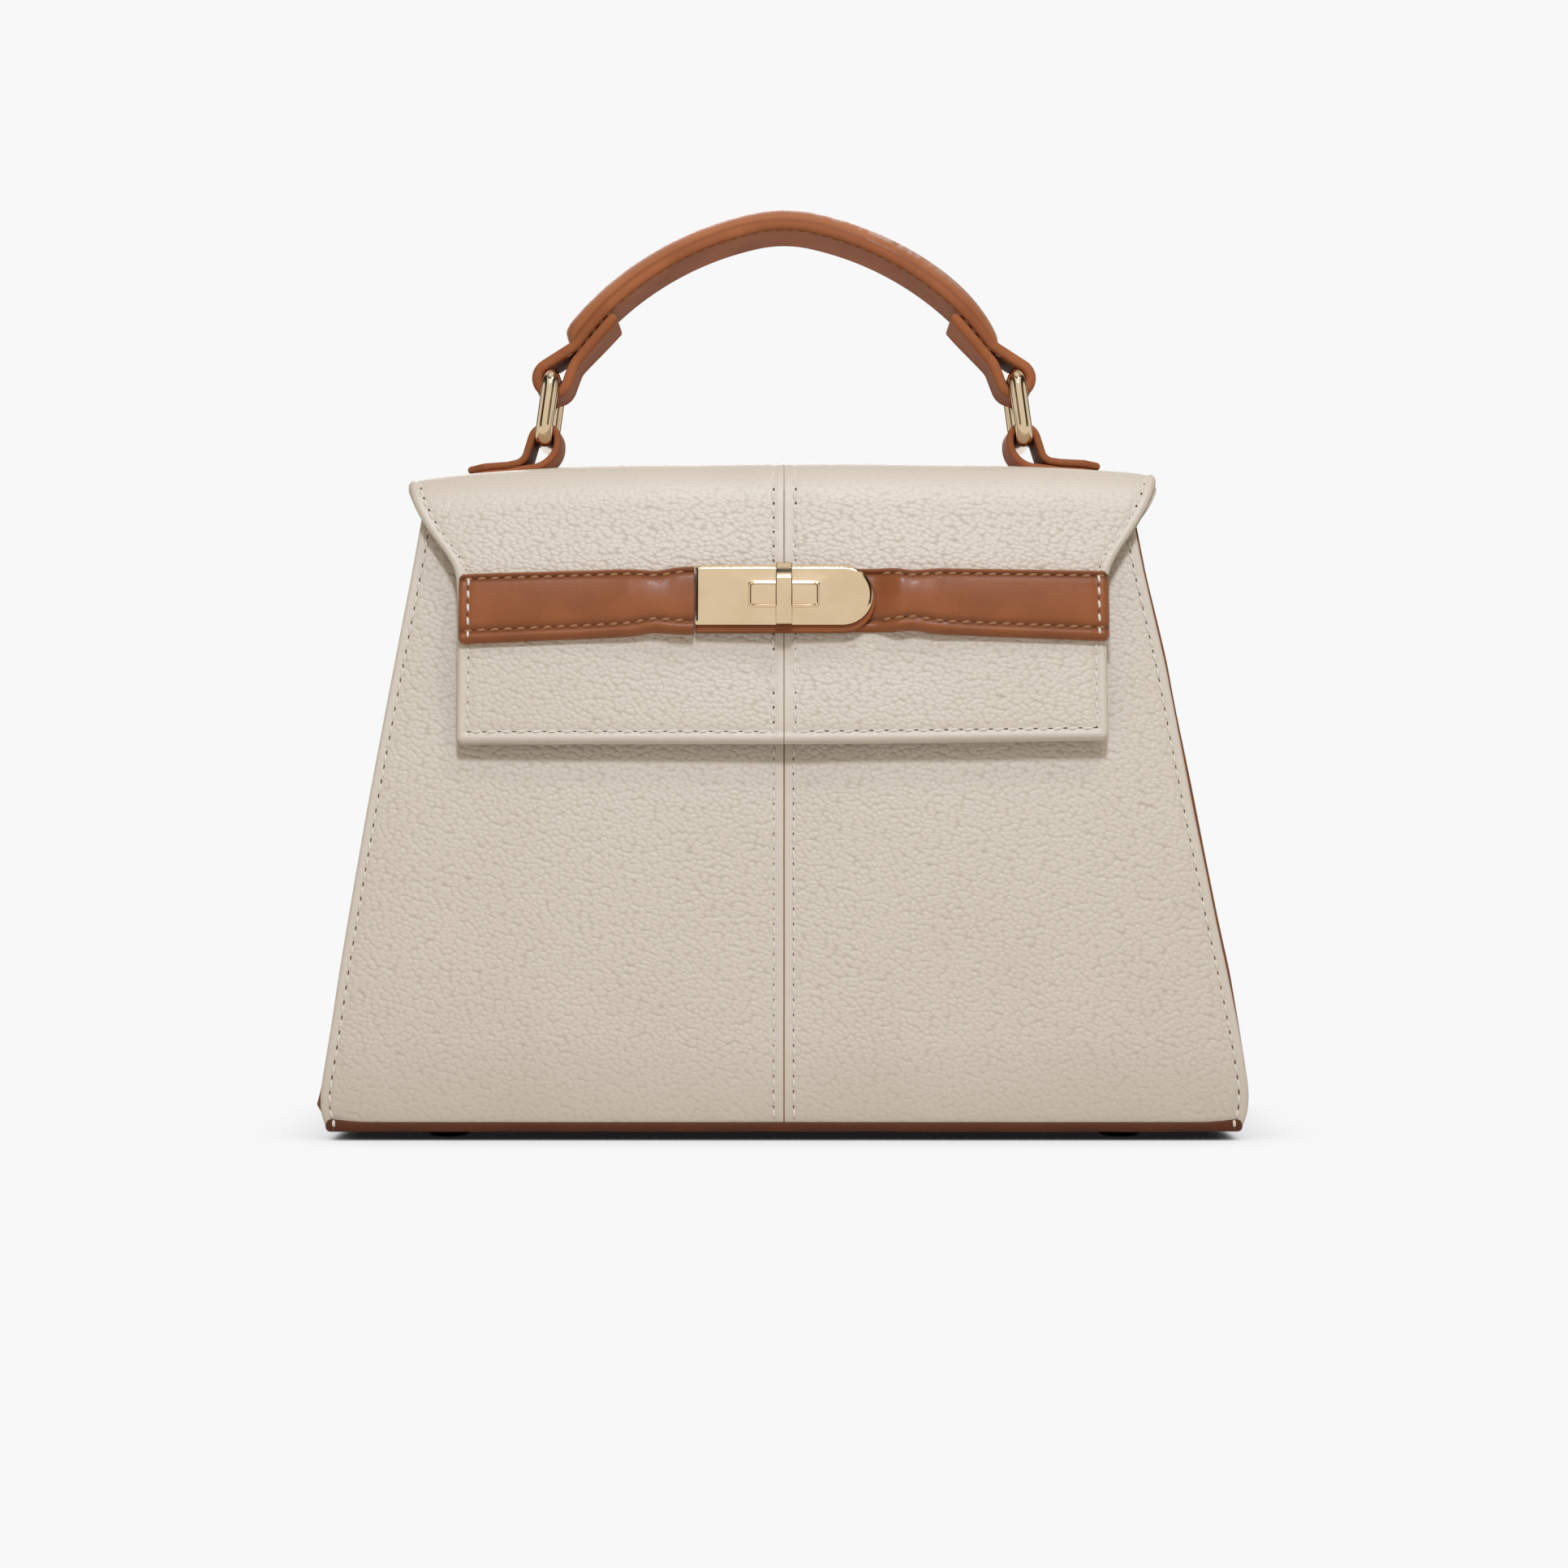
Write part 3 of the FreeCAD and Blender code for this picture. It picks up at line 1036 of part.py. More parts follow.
def arch_spine(body, lift):
    """Half of the arch, from its top to where the cover ends, lifted off the strap's middle line."""
    sketch = sketch_on(body, "XZ_Plane")
    top_r = f"({TOP_RADIUS} + {lift})"
    side_r = f"({SIDE_RADIUS} + {lift})"
    apart = f"({TOP_RADIUS} - {SIDE_RADIUS})"
    middle_z = f"({ARCH_Z} - {TOP_RADIUS})"
    end_slope = f"(pad_end_share * {ARCH_SLOPE})"
    end_x = f"{apart} * sin({TOP_SLOPE}) + {side_r} * sin({end_slope})"
    end_z = f"{middle_z} + {apart} * cos({TOP_SLOPE}) + {side_r} * cos({end_slope})"
    draw(sketch, [
        (end_x, end_z, side_r),
        (f"{top_r} * sin({TOP_SLOPE})", f"{middle_z} + {top_r} * cos({TOP_SLOPE})", top_r),
        ("0", f"{ARCH_Z} + {lift}"),
    ], closed=False)
    return sketch


def mirrored_pipe(body, profile, spine):
    pipe(body, profile, spine)
    feature = body.newObject("PartDesign::Mirrored", f"{body.Label}_mirrored")
    feature.Originals = [body.Tip]
    plane = [item for item in body.Origin.OriginFeatures if item.Role == "YZ_Plane"]
    feature.MirrorPlane = (plane[0], [""])
    body.Tip = feature
    doc.recompute()


PAD_LIFT = "(strap_thick / 2 + pad_gap)"
PAD_ROUND = "(pad_width * pad_width / pad_height / 8 + pad_height / 2)"

# Padded cover of the handle: domed over the strap, with a channel for the cord.
handle_cover = new_body("handle_cover")
profile = sketch_on(handle_cover, "YZ_Plane")
cover_low = f"({ARCH_Z} + {PAD_LIFT})"
draw(profile, [
    ("-pad_width / 2", cover_low), ("pad_width / 2", cover_low, PAD_ROUND),
    ("0", f"{cover_low} + pad_height", PAD_ROUND),
])
core_z = f"{ARCH_Z} + strap_thick / 2 + core_lift"
circle(profile, "0", core_z, "core_radius + core_clear")
mirrored_pipe(handle_cover, profile, arch_spine(handle_cover, PAD_LIFT))
place(handle_cover, y=HANDLE_Y)

# Cord that pads the handle, sealed in the cover.
handle_core = new_body("handle_core")
profile = sketch_on(handle_core, "YZ_Plane")
circle(profile, "0", core_z, "core_radius")
mirrored_pipe(handle_core, profile, arch_spine(handle_core, PAD_LIFT))
place(handle_core, y=HANDLE_Y)

doc.recompute()

PIECES = [
    base_panel, base_board, base_feet, foot_washers, front_panel_left, front_panel_right, front_board,
    back_panel_left, back_panel_right, back_board, left_gusset, right_gusset, lining, magnet_socket,
    socket_washer, flap_left, flap_right, flap_board, flap_lining, magnet_stud, stud_washer, belt_left,
    belt_right, lock_tab, lock_plate, plate_screws, lock_base, lock_back_plate, lock_toggle, toggle_post,
    left_handle_tab, right_handle_tab, left_ring, right_ring, handle_strap, handle_cover, handle_core,
]
for item in doc.Objects:
    if "Invalid" in item.State or "Error" in item.State:
        raise RuntimeError(f"{item.Label} did not compute: {item.State}")
os.makedirs("parts", exist_ok=True)
for piece in PIECES:
    if piece.Shape.isNull() or not piece.Shape.isValid() or not piece.Shape.Solids:
        raise RuntimeError(f"{piece.Label} has no valid solid")
    piece.Shape.exportStep(f"parts/{piece.Label}.step")
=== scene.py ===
import math

import bmesh
import bpy
import numpy as np
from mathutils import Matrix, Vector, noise


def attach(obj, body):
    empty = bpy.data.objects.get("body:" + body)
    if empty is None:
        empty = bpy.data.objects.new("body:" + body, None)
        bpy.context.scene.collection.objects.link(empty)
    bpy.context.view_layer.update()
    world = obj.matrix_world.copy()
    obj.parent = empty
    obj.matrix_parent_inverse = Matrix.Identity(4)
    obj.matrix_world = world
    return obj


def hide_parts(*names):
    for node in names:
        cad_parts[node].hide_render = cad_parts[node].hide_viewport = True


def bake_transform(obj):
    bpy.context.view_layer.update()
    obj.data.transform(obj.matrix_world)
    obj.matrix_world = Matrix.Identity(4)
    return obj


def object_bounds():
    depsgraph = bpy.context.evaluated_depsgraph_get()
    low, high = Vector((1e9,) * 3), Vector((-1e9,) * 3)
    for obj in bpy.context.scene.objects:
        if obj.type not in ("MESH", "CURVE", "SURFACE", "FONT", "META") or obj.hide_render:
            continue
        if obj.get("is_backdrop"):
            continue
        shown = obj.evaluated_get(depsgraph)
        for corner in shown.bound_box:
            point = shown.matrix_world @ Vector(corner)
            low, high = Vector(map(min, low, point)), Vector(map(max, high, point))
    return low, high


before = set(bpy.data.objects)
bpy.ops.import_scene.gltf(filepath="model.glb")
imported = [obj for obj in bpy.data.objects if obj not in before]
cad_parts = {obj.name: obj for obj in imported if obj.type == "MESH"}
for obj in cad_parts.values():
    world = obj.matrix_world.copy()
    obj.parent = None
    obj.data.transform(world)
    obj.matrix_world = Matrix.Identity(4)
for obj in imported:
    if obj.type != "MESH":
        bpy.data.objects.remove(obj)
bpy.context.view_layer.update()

# Base: smooth brown leather, cut in one piece and folded up into a low lip along the front and the back.
# It is glued over its board, and the lips hold the feet of the front and the back.
# Lengths of pieces are in millimetres here and below; finishes and the studio in metres.
MM = 0.001
base_half, base_deep, base_low, base_lip = 119.7, 48.9, 2.2, 4.8
base_thick, base_bend, base_corner = 1.4, 1.6, 1.6
lip_edge, end_edge, lip_shade, lip_shade_deep = 0.5, 1.4, 0.5, 0.8
lip_rise, lip_rise_from, lip_rise_to = 0.7, 108, 117
base_uneven, base_wave = 0.12, 14
edge_close = (0, 0.12, 0.3, 0.6, 1.0, 1.5, 2.1)
brown = (0.325, 0.105, 0.036, 1)
brown_deep = (0.15, 0.046, 0.016, 1)
# The base's browns are darker than the other leather's: painted shade on the lip under the front.
shaded_base_brown = (0.145, 0.045, 0.018, 1)
shaded_base_brown_deep = (0.06, 0.02, 0.009, 1)
flat_noise = {"noise_dimensions": "2D"}


class Shade:
    """One output of a finish's nodes: sums on it with numbers or other outputs add Math nodes."""

    def __init__(self, tree, socket):
        self.tree = tree
        self.socket = socket

    def node(self, kind, settings=None, inputs=None, output=0):
        """Any other node: its settings first, then the values or links of its sockets."""
        made = self.tree.nodes.new(f"ShaderNode{kind}")
        for key, value in (settings or {}).items():
            setattr(made, key, value)
        for key, value in (inputs or {}).items():
            if isinstance(value, Shade):
                self.tree.links.new(value.socket, made.inputs[key])
            else:
                made.inputs[key].default_value = value
        return Shade(self.tree, made.outputs[output] if made.outputs else None)

    def sum(self, operation, first, second):
        return self.node("Math", {"operation": operation}, {0: first, 1: second})

    def __add__(self, other):
        return self.sum("ADD", self, other)

    __radd__ = __add__

    def __mul__(self, other):
        return self.sum("MULTIPLY", self, other)

    __rmul__ = __mul__

    def __sub__(self, other):
        return self.sum("SUBTRACT", self, other)

    def __rsub__(self, other):
        return self.sum("SUBTRACT", other, self)

    def stretched(self, size):
        """A place in units of the given sizes along x, y and z, in metres."""
        return self.node("VectorMath", {"operation": "DIVIDE"}, {0: self, 1: size})

    def warped(self, scale, detail, reach):
        """A place shifted by soft noise, so that the grain laid out on it wanders."""
        bent = self.node("TexNoise", flat_noise, {"Vector": self, "Scale": scale, "Detail": detail}, 1)
        shift = self.node("VectorMath", {"operation": "SCALE"}, {0: bent, "Scale": reach})
        return self.node("VectorMath", {"operation": "ADD"}, {0: self, 1: shift})

    def mark(self, name):
        """A value that the piece's mesh holds on its points."""
        return self.node("Attribute", {"attribute_name": name}, output=2)

    def ramp(self, low, high):
        """Soft rise from 0 at low to 1 at high."""
        limits = {"From Min": low, "From Max": high}
        return self.node("MapRange", {"interpolation_type": "SMOOTHSTEP"}, {"Value": self, **limits})

    def mix(self, low, high):
        """The colour low where this is 0, high where it is 1."""
        return self.node("Mix", {"data_type": "RGBA"}, {0: self, 6: low, 7: high}, 2)


def empty_nodes(owner):
    """The start of the emptied nodes of a finish or of the studio's air."""
    owner.use_nodes = True
    owner.node_tree.nodes.clear()
    return Shade(owner.node_tree, None)


def new_finish(name, cut=True):
    """An empty finish and the places on the piece, in metres: on its flat cut, or in the bag."""
    made = bpy.data.materials.new(name)
    start = empty_nodes(made)
    if cut:
        return made, start.node("UVMap", {"uv_map": "cut"})
    return made, start.node("TexCoord", output=3)


def close_finish(start, **values):
    """Ends a finish in its shader; a word's _ stands for a space in a socket's name."""
    sockets = {key.replace("_", " "): value for key, value in values.items()}
    start.node("OutputMaterial", None, {"Surface": start.node("BsdfPrincipled", None, sockets)})


def brown_leather(name, crease_along, crease_across, crease_depth, rough=0.5, shine=0.3,
                  tone_low=brown_deep, tone_high=brown):
    """Smooth brown leather: fine grain, soft creases of the given sizes in metres, a satin face and rubbed
    high spots. Where a piece is marked polished, hands have rubbed the creases' tops to a gloss."""
    made, cut = new_finish(name)
    place = cut.warped(500, 2, 0.0006)
    pores = place.node("TexVoronoi", {"voronoi_dimensions": "2D", "feature": "DISTANCE_TO_EDGE"},
                       {"Vector": place, "Scale": 1250}).ramp(0, 0.3)
    lines = cut.stretched((crease_along, crease_across, 1))
    folds = lines.node("TexNoise", flat_noise, {"Vector": lines, "Scale": 1, "Detail": 4, "Roughness": 0.62,
                                                "Distortion": 0.35})
    tone = cut.node("TexNoise", flat_noise, {"Vector": cut, "Scale": 55, "Detail": 5})
    # Marked points are coloured up to 85% darker: painted shade in grooves, folds and under edges.
    high = (0.55 + pores * 0.08 + tone.ramp(0.3, 0.72) * 0.37) * (1 - cut.mark("painted_shade") * 0.85)
    height = pores * 0.02 + folds.ramp(0.3, 0.7) * crease_depth
    bump = cut.node("Bump", None, {"Strength": 0.6, "Distance": 0.0005, "Height": height})
    close_finish(cut, Base_Color=high.mix(tone_low, tone_high), Specular_IOR_Level=shine, Normal=bump,
                 Roughness=rough - pores * 0.06 - folds * 0.06, Coat_Roughness=0.16,
                 Coat_Weight=cut.mark("polished") * folds.ramp(0.42, 0.58))
    return made


def grid_of(*axes):
    """Points, or places on a flat cut, from values that spread over one grid."""
    return np.stack(np.broadcast_arrays(*axes), axis=-1)


def unit(values):
    return values / np.linalg.norm(values, axis=-1, keepdims=True)


def lengths(points):
    """Length along a line up to each of its points."""
    return np.concatenate([[0], np.cumsum(np.linalg.norm(np.diff(points, axis=0), axis=1))])


def read_at(stops, along, values):
    """Values on a line, read at other lengths along it."""
    return np.stack([np.interp(stops, along, column) for column in values.T], axis=1)


def share_of(values, start, end):
    """Share of the way from start to end, from 0 to 1."""
    return np.clip((values - start) / (end - start), 0, 1)


def hump(values, middle, wide):
    """Soft hump of height 1 about a middle."""
    return np.exp(-((values - middle) / wide) ** 2)


def spread(low, high, close, count):
    """Places from a low to a high edge: as close to both as listed, and a count of even ones between."""
    low, high = np.broadcast_arrays(np.asarray(low, float), np.asarray(high, float))
    close = np.asarray(close, float)
    first, last = low[..., None] + close, high[..., None] - close[::-1]
    middle = np.linspace(0, 1, count + 2)[1:-1]
    between = first[..., -1:] + (last[..., :1] - first[..., -1:]) * middle
    return np.concatenate([first, between, last], axis=-1)


def route(corners, close, count, steps=60):
    """A line through corners (a, b, radius) with round bends: lengths along it, its points there, and the
    directions to its left."""
    spots = [np.array(corner[:2], float) for corner in corners]
    points, ways = [], []
    start = spots[0]
    for number in range(1, len(spots)):
        ahead = unit(spots[number] - spots[number - 1])
        left = np.array([-ahead[1], ahead[0]])
        reach, turn = 0, 0
        if number < len(spots) - 1:
            away = spots[number + 1] - spots[number]
            turn = math.atan2(ahead[0] * away[1] - ahead[1] * away[0], ahead @ away)
            reach = corners[number][2] * math.tan(abs(turn) / 2)
        enter = spots[number] - ahead * reach
        for share in np.linspace(0, 1, steps, endpoint=False):
            points.append(start + (enter - start) * share)
            ways.append(ahead)
        side = math.copysign(corners[number][2], turn)
        for share in np.linspace(0, 1, steps, endpoint=not turn):
            angle = turn * share
            way = ahead * math.cos(angle) + left * math.sin(angle)
            points.append(enter + left * side - np.array([-way[1], way[0]]) * side)
            ways.append(way)
        if turn:
            start = spots[number] + unit(away) * reach
    points = np.array(points)
    along = lengths(points)
    stops = spread(0, along[-1], close, count)
    ways = unit(read_at(stops, along, np.array(ways)))
    return stops, read_at(stops, along, points), np.stack([-ways[:, 1], ways[:, 0]], axis=1)


def turned_edge(far, radius, seam=0.0, pull=0.0, swell=0.0):
    """Height of leather turned over an edge, by distance: round, full, and pulled in along its seam."""
    inside = np.clip(far / radius, 0, 1)
    height = radius * (np.sqrt(1 - (1 - inside) ** 2) - 1)
    if seam:
        height = height + swell * hump(far, seam * 0.5, seam * 0.3) - pull * hump(far, seam, seam * 0.28)
    return height


def round_corner(one, other, radius):
    """How far to move in from each of two edges, by the distances to them, to make their corner round."""
    near, past = (np.clip(1 - far / radius, 0, 1) for far in (one, other))
    from_one = radius * near * (1 - np.sqrt(1 - past ** 2 / 2))
    return from_one, radius * past * (1 - np.sqrt(1 - near ** 2 / 2))


def uneven(points, size, seed):
    """Soft unevenness from -1 to 1 at points, with waves of a given size."""
    places = points.reshape(-1, 3) / size + seed
    return np.array([noise.noise(place) for place in places]).reshape(points.shape[:-1])


def make_piece(name, spots, faces, finishes, flat=None, marks=None, paint=None, sharp_deg=None):
    """A closed piece from points and faces, with its places on the flat cut, the values that its points are
    marked with, which finish each face has, and the angle from which an edge is sharp."""
    mesh = bpy.data.meshes.new(name)
    mesh.from_pydata((spots * MM).reshape(-1, 3).tolist(), [], faces)
    if flat is not None:
        corners = np.empty(len(mesh.loops), dtype=np.int32)
        mesh.loops.foreach_get("vertex_index", corners)
        mesh.uv_layers.new(name="cut").data.foreach_set("uv", (flat.reshape(-1, 2) * MM)[corners].ravel())
    for key, values in (marks or {}).items():
        store = mesh.attributes.new(key, "FLOAT", "POINT")
        store.data.foreach_set("value", values.ravel().astype(np.float32))
    if paint is not None:
        mesh.polygons.foreach_set("material_index", np.array(paint, dtype=np.int32))
    body = bmesh.new()
    body.from_mesh(mesh)
    bmesh.ops.recalc_face_normals(body, faces=body.faces)
    body.to_mesh(mesh)
    body.free()
    mesh.polygons.foreach_set("use_smooth", np.ones(len(mesh.polygons), dtype=bool))
    if sharp_deg:
        mesh.set_sharp_from_angle(angle=math.radians(sharp_deg))
    for finish in finishes:
        mesh.materials.append(finish)
    piece = bpy.data.objects.new(name, mesh)
    bpy.context.scene.collection.objects.link(piece)
    return piece


def cut_piece(name, base, out, face, back, cut, finish, marks=None, wrap=False, sharp_deg=60):
    """A cut of leather or cloth as a closed mesh: face and back are its heights over a grid of base points.
    A wrapped one goes all round, and is closed at its first row."""
    shape = (2, *base.shape[:2])
    face, back = (np.broadcast_to(height, shape[1:])[..., None] for height in (face, back))
    spots = np.stack([base + out * face, base + out * back])
    number = np.arange(math.prod(shape)).reshape(shape)
    if wrap:
        number = np.concatenate([number, number[:, :, :1]], axis=2)
    top, low = number
    quads = [np.stack([sheet[:-1, :-1], sheet[:-1, 1:], sheet[1:, 1:], sheet[1:, :-1]], axis=-1)
             for sheet in number]
    rims, caps = [(top[0], low[0]), (top[-1], low[-1])], []
    if wrap:
        rims, caps = rims[1:], [sheet[0, :-1].tolist() for sheet in number]
    else:
        rims += [(top[:, 0], low[:, 0]), (top[:, -1], low[:, -1])]
    quads += [np.stack([one[:-1], one[1:], other[1:], other[:-1]], axis=-1) for one, other in rims]
    faces = np.concatenate([quad.reshape(-1, 4) for quad in quads]).tolist() + caps
    marks = {key: np.broadcast_to(values, shape) for key, values in (marks or {}).items()}
    flat = np.broadcast_to(cut, (*shape, 2))
    return make_piece(name, spots, faces, [finish], flat, marks, sharp_deg=sharp_deg)


def fasten(piece, body, slot, *nodes):
    """Lets a piece move with a body, in the place of the solids named. The slot is not used."""
    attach(piece, body)
    if nodes:
        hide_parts(*nodes)


base_line, places, left = route([(-base_deep, base_lip, 0), (-base_deep, base_low, base_bend),
                                 (base_deep, base_low, base_bend), (base_deep, base_lip, 0)],
                                edge_close[:5], 90)
wide = spread(-base_half, base_half, edge_close, 80)[None]
lip_share = (places[:, 1:] - base_low) / (base_lip - base_low)
corner_lift = lip_rise * share_of(np.abs(wide), lip_rise_from, lip_rise_to) ** 2 * lip_share
grid = grid_of(wide, places[:, :1], places[:, 1:] + corner_lift)
outward = grid_of(0, -left[:, 0], -left[:, 1])[:, None]
far_end = np.minimum(base_line, base_line[-1] - base_line)[:, None]
far_side = base_half - np.abs(wide)
from_side, from_end = round_corner(far_side, far_end, base_corner)
grid[..., 0] -= np.sign(wide) * from_side
grid[..., 2] -= from_end
face = turned_edge(far_end, lip_edge) + turned_edge(far_side, end_edge)
face = face + base_uneven * uneven(grid, base_wave, 3.1)
base_finish = brown_leather("brown_base_shaded", 0.012, 0.012, 0.15, 0.6, 0.15, shaded_base_brown_deep, shaded_base_brown)
base_leather = cut_piece("base_leather", grid, outward, face, -base_thick,
                         grid_of(wide, base_line[:, None]), base_finish,
                         {"painted_shade": lip_shade * np.exp(-far_end / lip_shade_deep)})
fasten(base_leather, "bag_body", "brown_leather", "base_panel")


# Boards: grey pulp board in the base, the front, the back and the flap.
# They are glued in behind the leather, out of sight, and keep the bag straight.
def board_finish():
    made, place = new_finish("pulp_board", cut=False)
    fibre = place.node("TexNoise", None, {"Vector": place, "Scale": 900, "Detail": 6})
    close_finish(place, Base_Color=fibre.mix((0.2, 0.17, 0.13, 1), (0.34, 0.3, 0.24, 1)), Roughness=0.9)
    return made


def dress(finish, *names):
    """Gives solids that keep their own shape a finish."""
    for name in names:
        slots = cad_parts[name].data.materials
        slots.clear()
        slots.append(finish)


dress(board_finish(), "base_board", "front_board", "back_board", "flap_board")


# Feet: turned studs whose shanks go through the base and are held by washers pressed over them.
# Their near-black colour is painted shade, for their place in the dark under the base.
# The washers and the other hidden fittings are zinc-plated steel.
def plated(name, colour, deep, rough):
    """Polished plating: mirror-like, with faint unevenness, handling haze and fine hair scratches."""
    made, place = new_finish(name, cut=False)
    haze = place.node("TexNoise", None, {"Vector": place, "Scale": 130, "Detail": 4, "Roughness": 0.6})
    lines = place.stretched((0.004, 0.0003, 0.0003))
    hairs = lines.node("TexNoise", None, {"Vector": lines, "Scale": 1, "Detail": 3})
    wave = place.node("TexNoise", None, {"Vector": place, "Scale": 90, "Detail": 1})
    bump = place.node("Bump", None, {"Strength": 0.1, "Distance": 0.0004, "Height": wave + hairs * 0.03})
    close_finish(place, Base_Color=haze.ramp(0.25, 0.75).mix(deep, colour), Metallic=1, Normal=bump,
                 Roughness=rough + haze * 0.08 + hairs * 0.05)
    return made


zinc_steel = plated("zinc_steel", (0.62, 0.62, 0.62, 1), (0.5, 0.5, 0.51, 1), 0.22)
dress(plated("feet_painted_shade_black", (0.02, 0.018, 0.017, 1), (0.012, 0.011, 0.01, 1), 0.4), "base_feet")
dress(zinc_steel, "foot_washers")

# Front and back: cream pebbled leather, each in two halves seamed down the middle and sewn to the sides.
# Both lean in from the base to the mouth. Their edges are turned in, and the foot curls under behind the
# base's lip, where each side seam of the front ends in one stitch over the lip.
halves = (("left", -1), ("right", 1))
wall_slope = 0.127679
lean = math.atan(wall_slope)
foot_deep, foot_high, mouth_high, back_high = 48.45, 4.1, 172.1, 175.0
side_high = (4.1, 7, 12, 18, 30, 43, 56, 70, 86, 105, 125, 150, 160, 172, 175)
side_half = {-1: (119.9, 121.1, 121.3, 120.4, 118.6, 116.9, 115, 112.9, 110.4, 107.2, 103.8, 99.4, 97.8,
                  95.8, 95.3),
             1: (119.9, 121.1, 121.6, 120.9, 119, 116.6, 114, 111.4, 108.4, 105.1, 101.6, 96.2, 94.4,
                 92.4, 91.9)}
side_steps, side_smooth = 400, 23
panel_thick, panel_crown, crown_least, panel_uneven, panel_wave = 1.4, 1.0, 0.35, 0.25, 34
seam_half, seam_in, raw_wide = 0.03, 2.6, 0.11
foot_tuck, foot_tuck_high, tuck_smooth = 0.9, 22, 0.6
grain_from, grain_run, grain_least, cut_apart = 0.6, 3.2, 0.12, 50
# Each turned edge: its radius, its seam's distance from it, the seam's pull and the swell before it.
side_turn = (0.8, seam_in, 0.22, 0.08)
middle_turn = (0.22, seam_in, 0.16, 0.05)
mouth_turn = (0.9, seam_in, 0.25, 0.1)
seam_close = (0, 0.1, 0.25, 0.5, 0.8, 1.2, 1.6, 2.1, seam_in, 3.1, 3.8, 5.0)
seam_row = seam_close.index(seam_in)
stitch_slim, stitch_proud, stitch_dive = 0.45, 0.45, 1.5
hole_small, hole_wide, hole_long, hole_rim, hole_top, hole_deep = 0.28, 0.44, 1.7, 0.02, 0.05, 0.4
panel_seam_rows = slice(4, -5)
lip_stitch_in, lip_stitch_out, lip_stitch_over, lip_stitch_low = 2.4, 0.05, 1.1, 0.9
cream = (0.68, 0.604, 0.512, 1)
cream_deep = (0.52, 0.44, 0.34, 1)
tan_edge = (0.42, 0.28, 0.16, 1)
grain_size = (0.00146, 0.00114, 1)


def cream_leather(name):
    """Cream pebbled leather: flat grains about 1.5 mm wide between soft furrows, smoother where turned or
    sewn. Its cut edge in the seams is tan."""
    made, cut = new_finish(name)
    cells = {"voronoi_dimensions": "2D", "feature": "SMOOTH_F1"}
    place = cut.node("Mapping", {"vector_type": "TEXTURE"},
                     {"Vector": cut, "Rotation": (0, 0, -0.28), "Scale": grain_size}).warped(0.8, 1, 0.35)
    large = place.node("TexVoronoi", cells, {"Vector": place, "Scale": 1, "Smoothness": 0.21})
    small = place.node("TexVoronoi", cells, {"Vector": place, "Scale": 2.3, "Smoothness": 0.4})
    hair = place.node("TexNoise", flat_noise, {"Vector": place, "Scale": 6, "Detail": 3})
    tone = cut.node("TexNoise", flat_noise, {"Vector": cut, "Scale": 28, "Detail": 4})
    patch = place.node("TexNoise", flat_noise, {"Vector": place, "Scale": 0.35, "Detail": 1})
    furrow = large * large * 1.4
    depth = cut.mark("grain") * (0.8 + patch.ramp(0.3, 0.7) * 0.2)
    height = hair * 0.03 - furrow * depth - small * small * depth * 0.12
    # Painted shade: the furrows are coloured darker, and so is the marked foot where it curls under.
    light = 1 - furrow * depth * 0.32 - tone.ramp(0.35, 0.7) * 0.08 - cut.mark("foot_painted_shade") * 0.42
    colour = cut.mark("raw").mix(light.mix(cream_deep, cream), tan_edge)
    bump = cut.node("Bump", None, {"Strength": 1, "Distance": 0.00023, "Height": height})
    close_finish(cut, Base_Color=colour, Roughness=0.46 + furrow * 0.1, Normal=bump,
                 Specular_IOR_Level=0.55)
    return made


def thread(name, colour, deep):
    """Twisted thread: strands wind round each stitch."""
    made, cut = new_finish(name)
    twist = cut.node("TexWave", {"bands_direction": "DIAGONAL"},
                     {"Vector": cut, "Scale": 900, "Distortion": 0.4})
    fibre = cut.node("TexNoise", flat_noise, {"Vector": cut, "Scale": 4000, "Detail": 3})
    bump = cut.node("Bump", None, {"Strength": 0.6, "Distance": 0.00012, "Height": twist})
    # The colour darkens between the strands along the twist: painted shade.
    shade = twist * 0.55 + fibre * 0.45
    close_finish(cut, Base_Color=shade.mix(deep, colour), Roughness=0.62, Normal=bump)
    return made


# A needle hole's inside is coloured dark brown: painted shade in the hole.
def needle_hole_shade():
    made, cut = new_finish("needle_hole_shade")
    speck = cut.node("TexNoise", flat_noise, {"Vector": cut, "Scale": 3000, "Detail": 2})
    close_finish(cut, Base_Color=speck.mix((0.06, 0.032, 0.015, 1), (0.17, 0.1, 0.055, 1)), Roughness=0.9)
    return made


cream_finish = cream_leather("cream_pebbled")
cream_thread = thread("cream_thread", (0.85, 0.79, 0.7, 1), (0.78, 0.73, 0.65, 1))
needle_dark = needle_hole_shade()


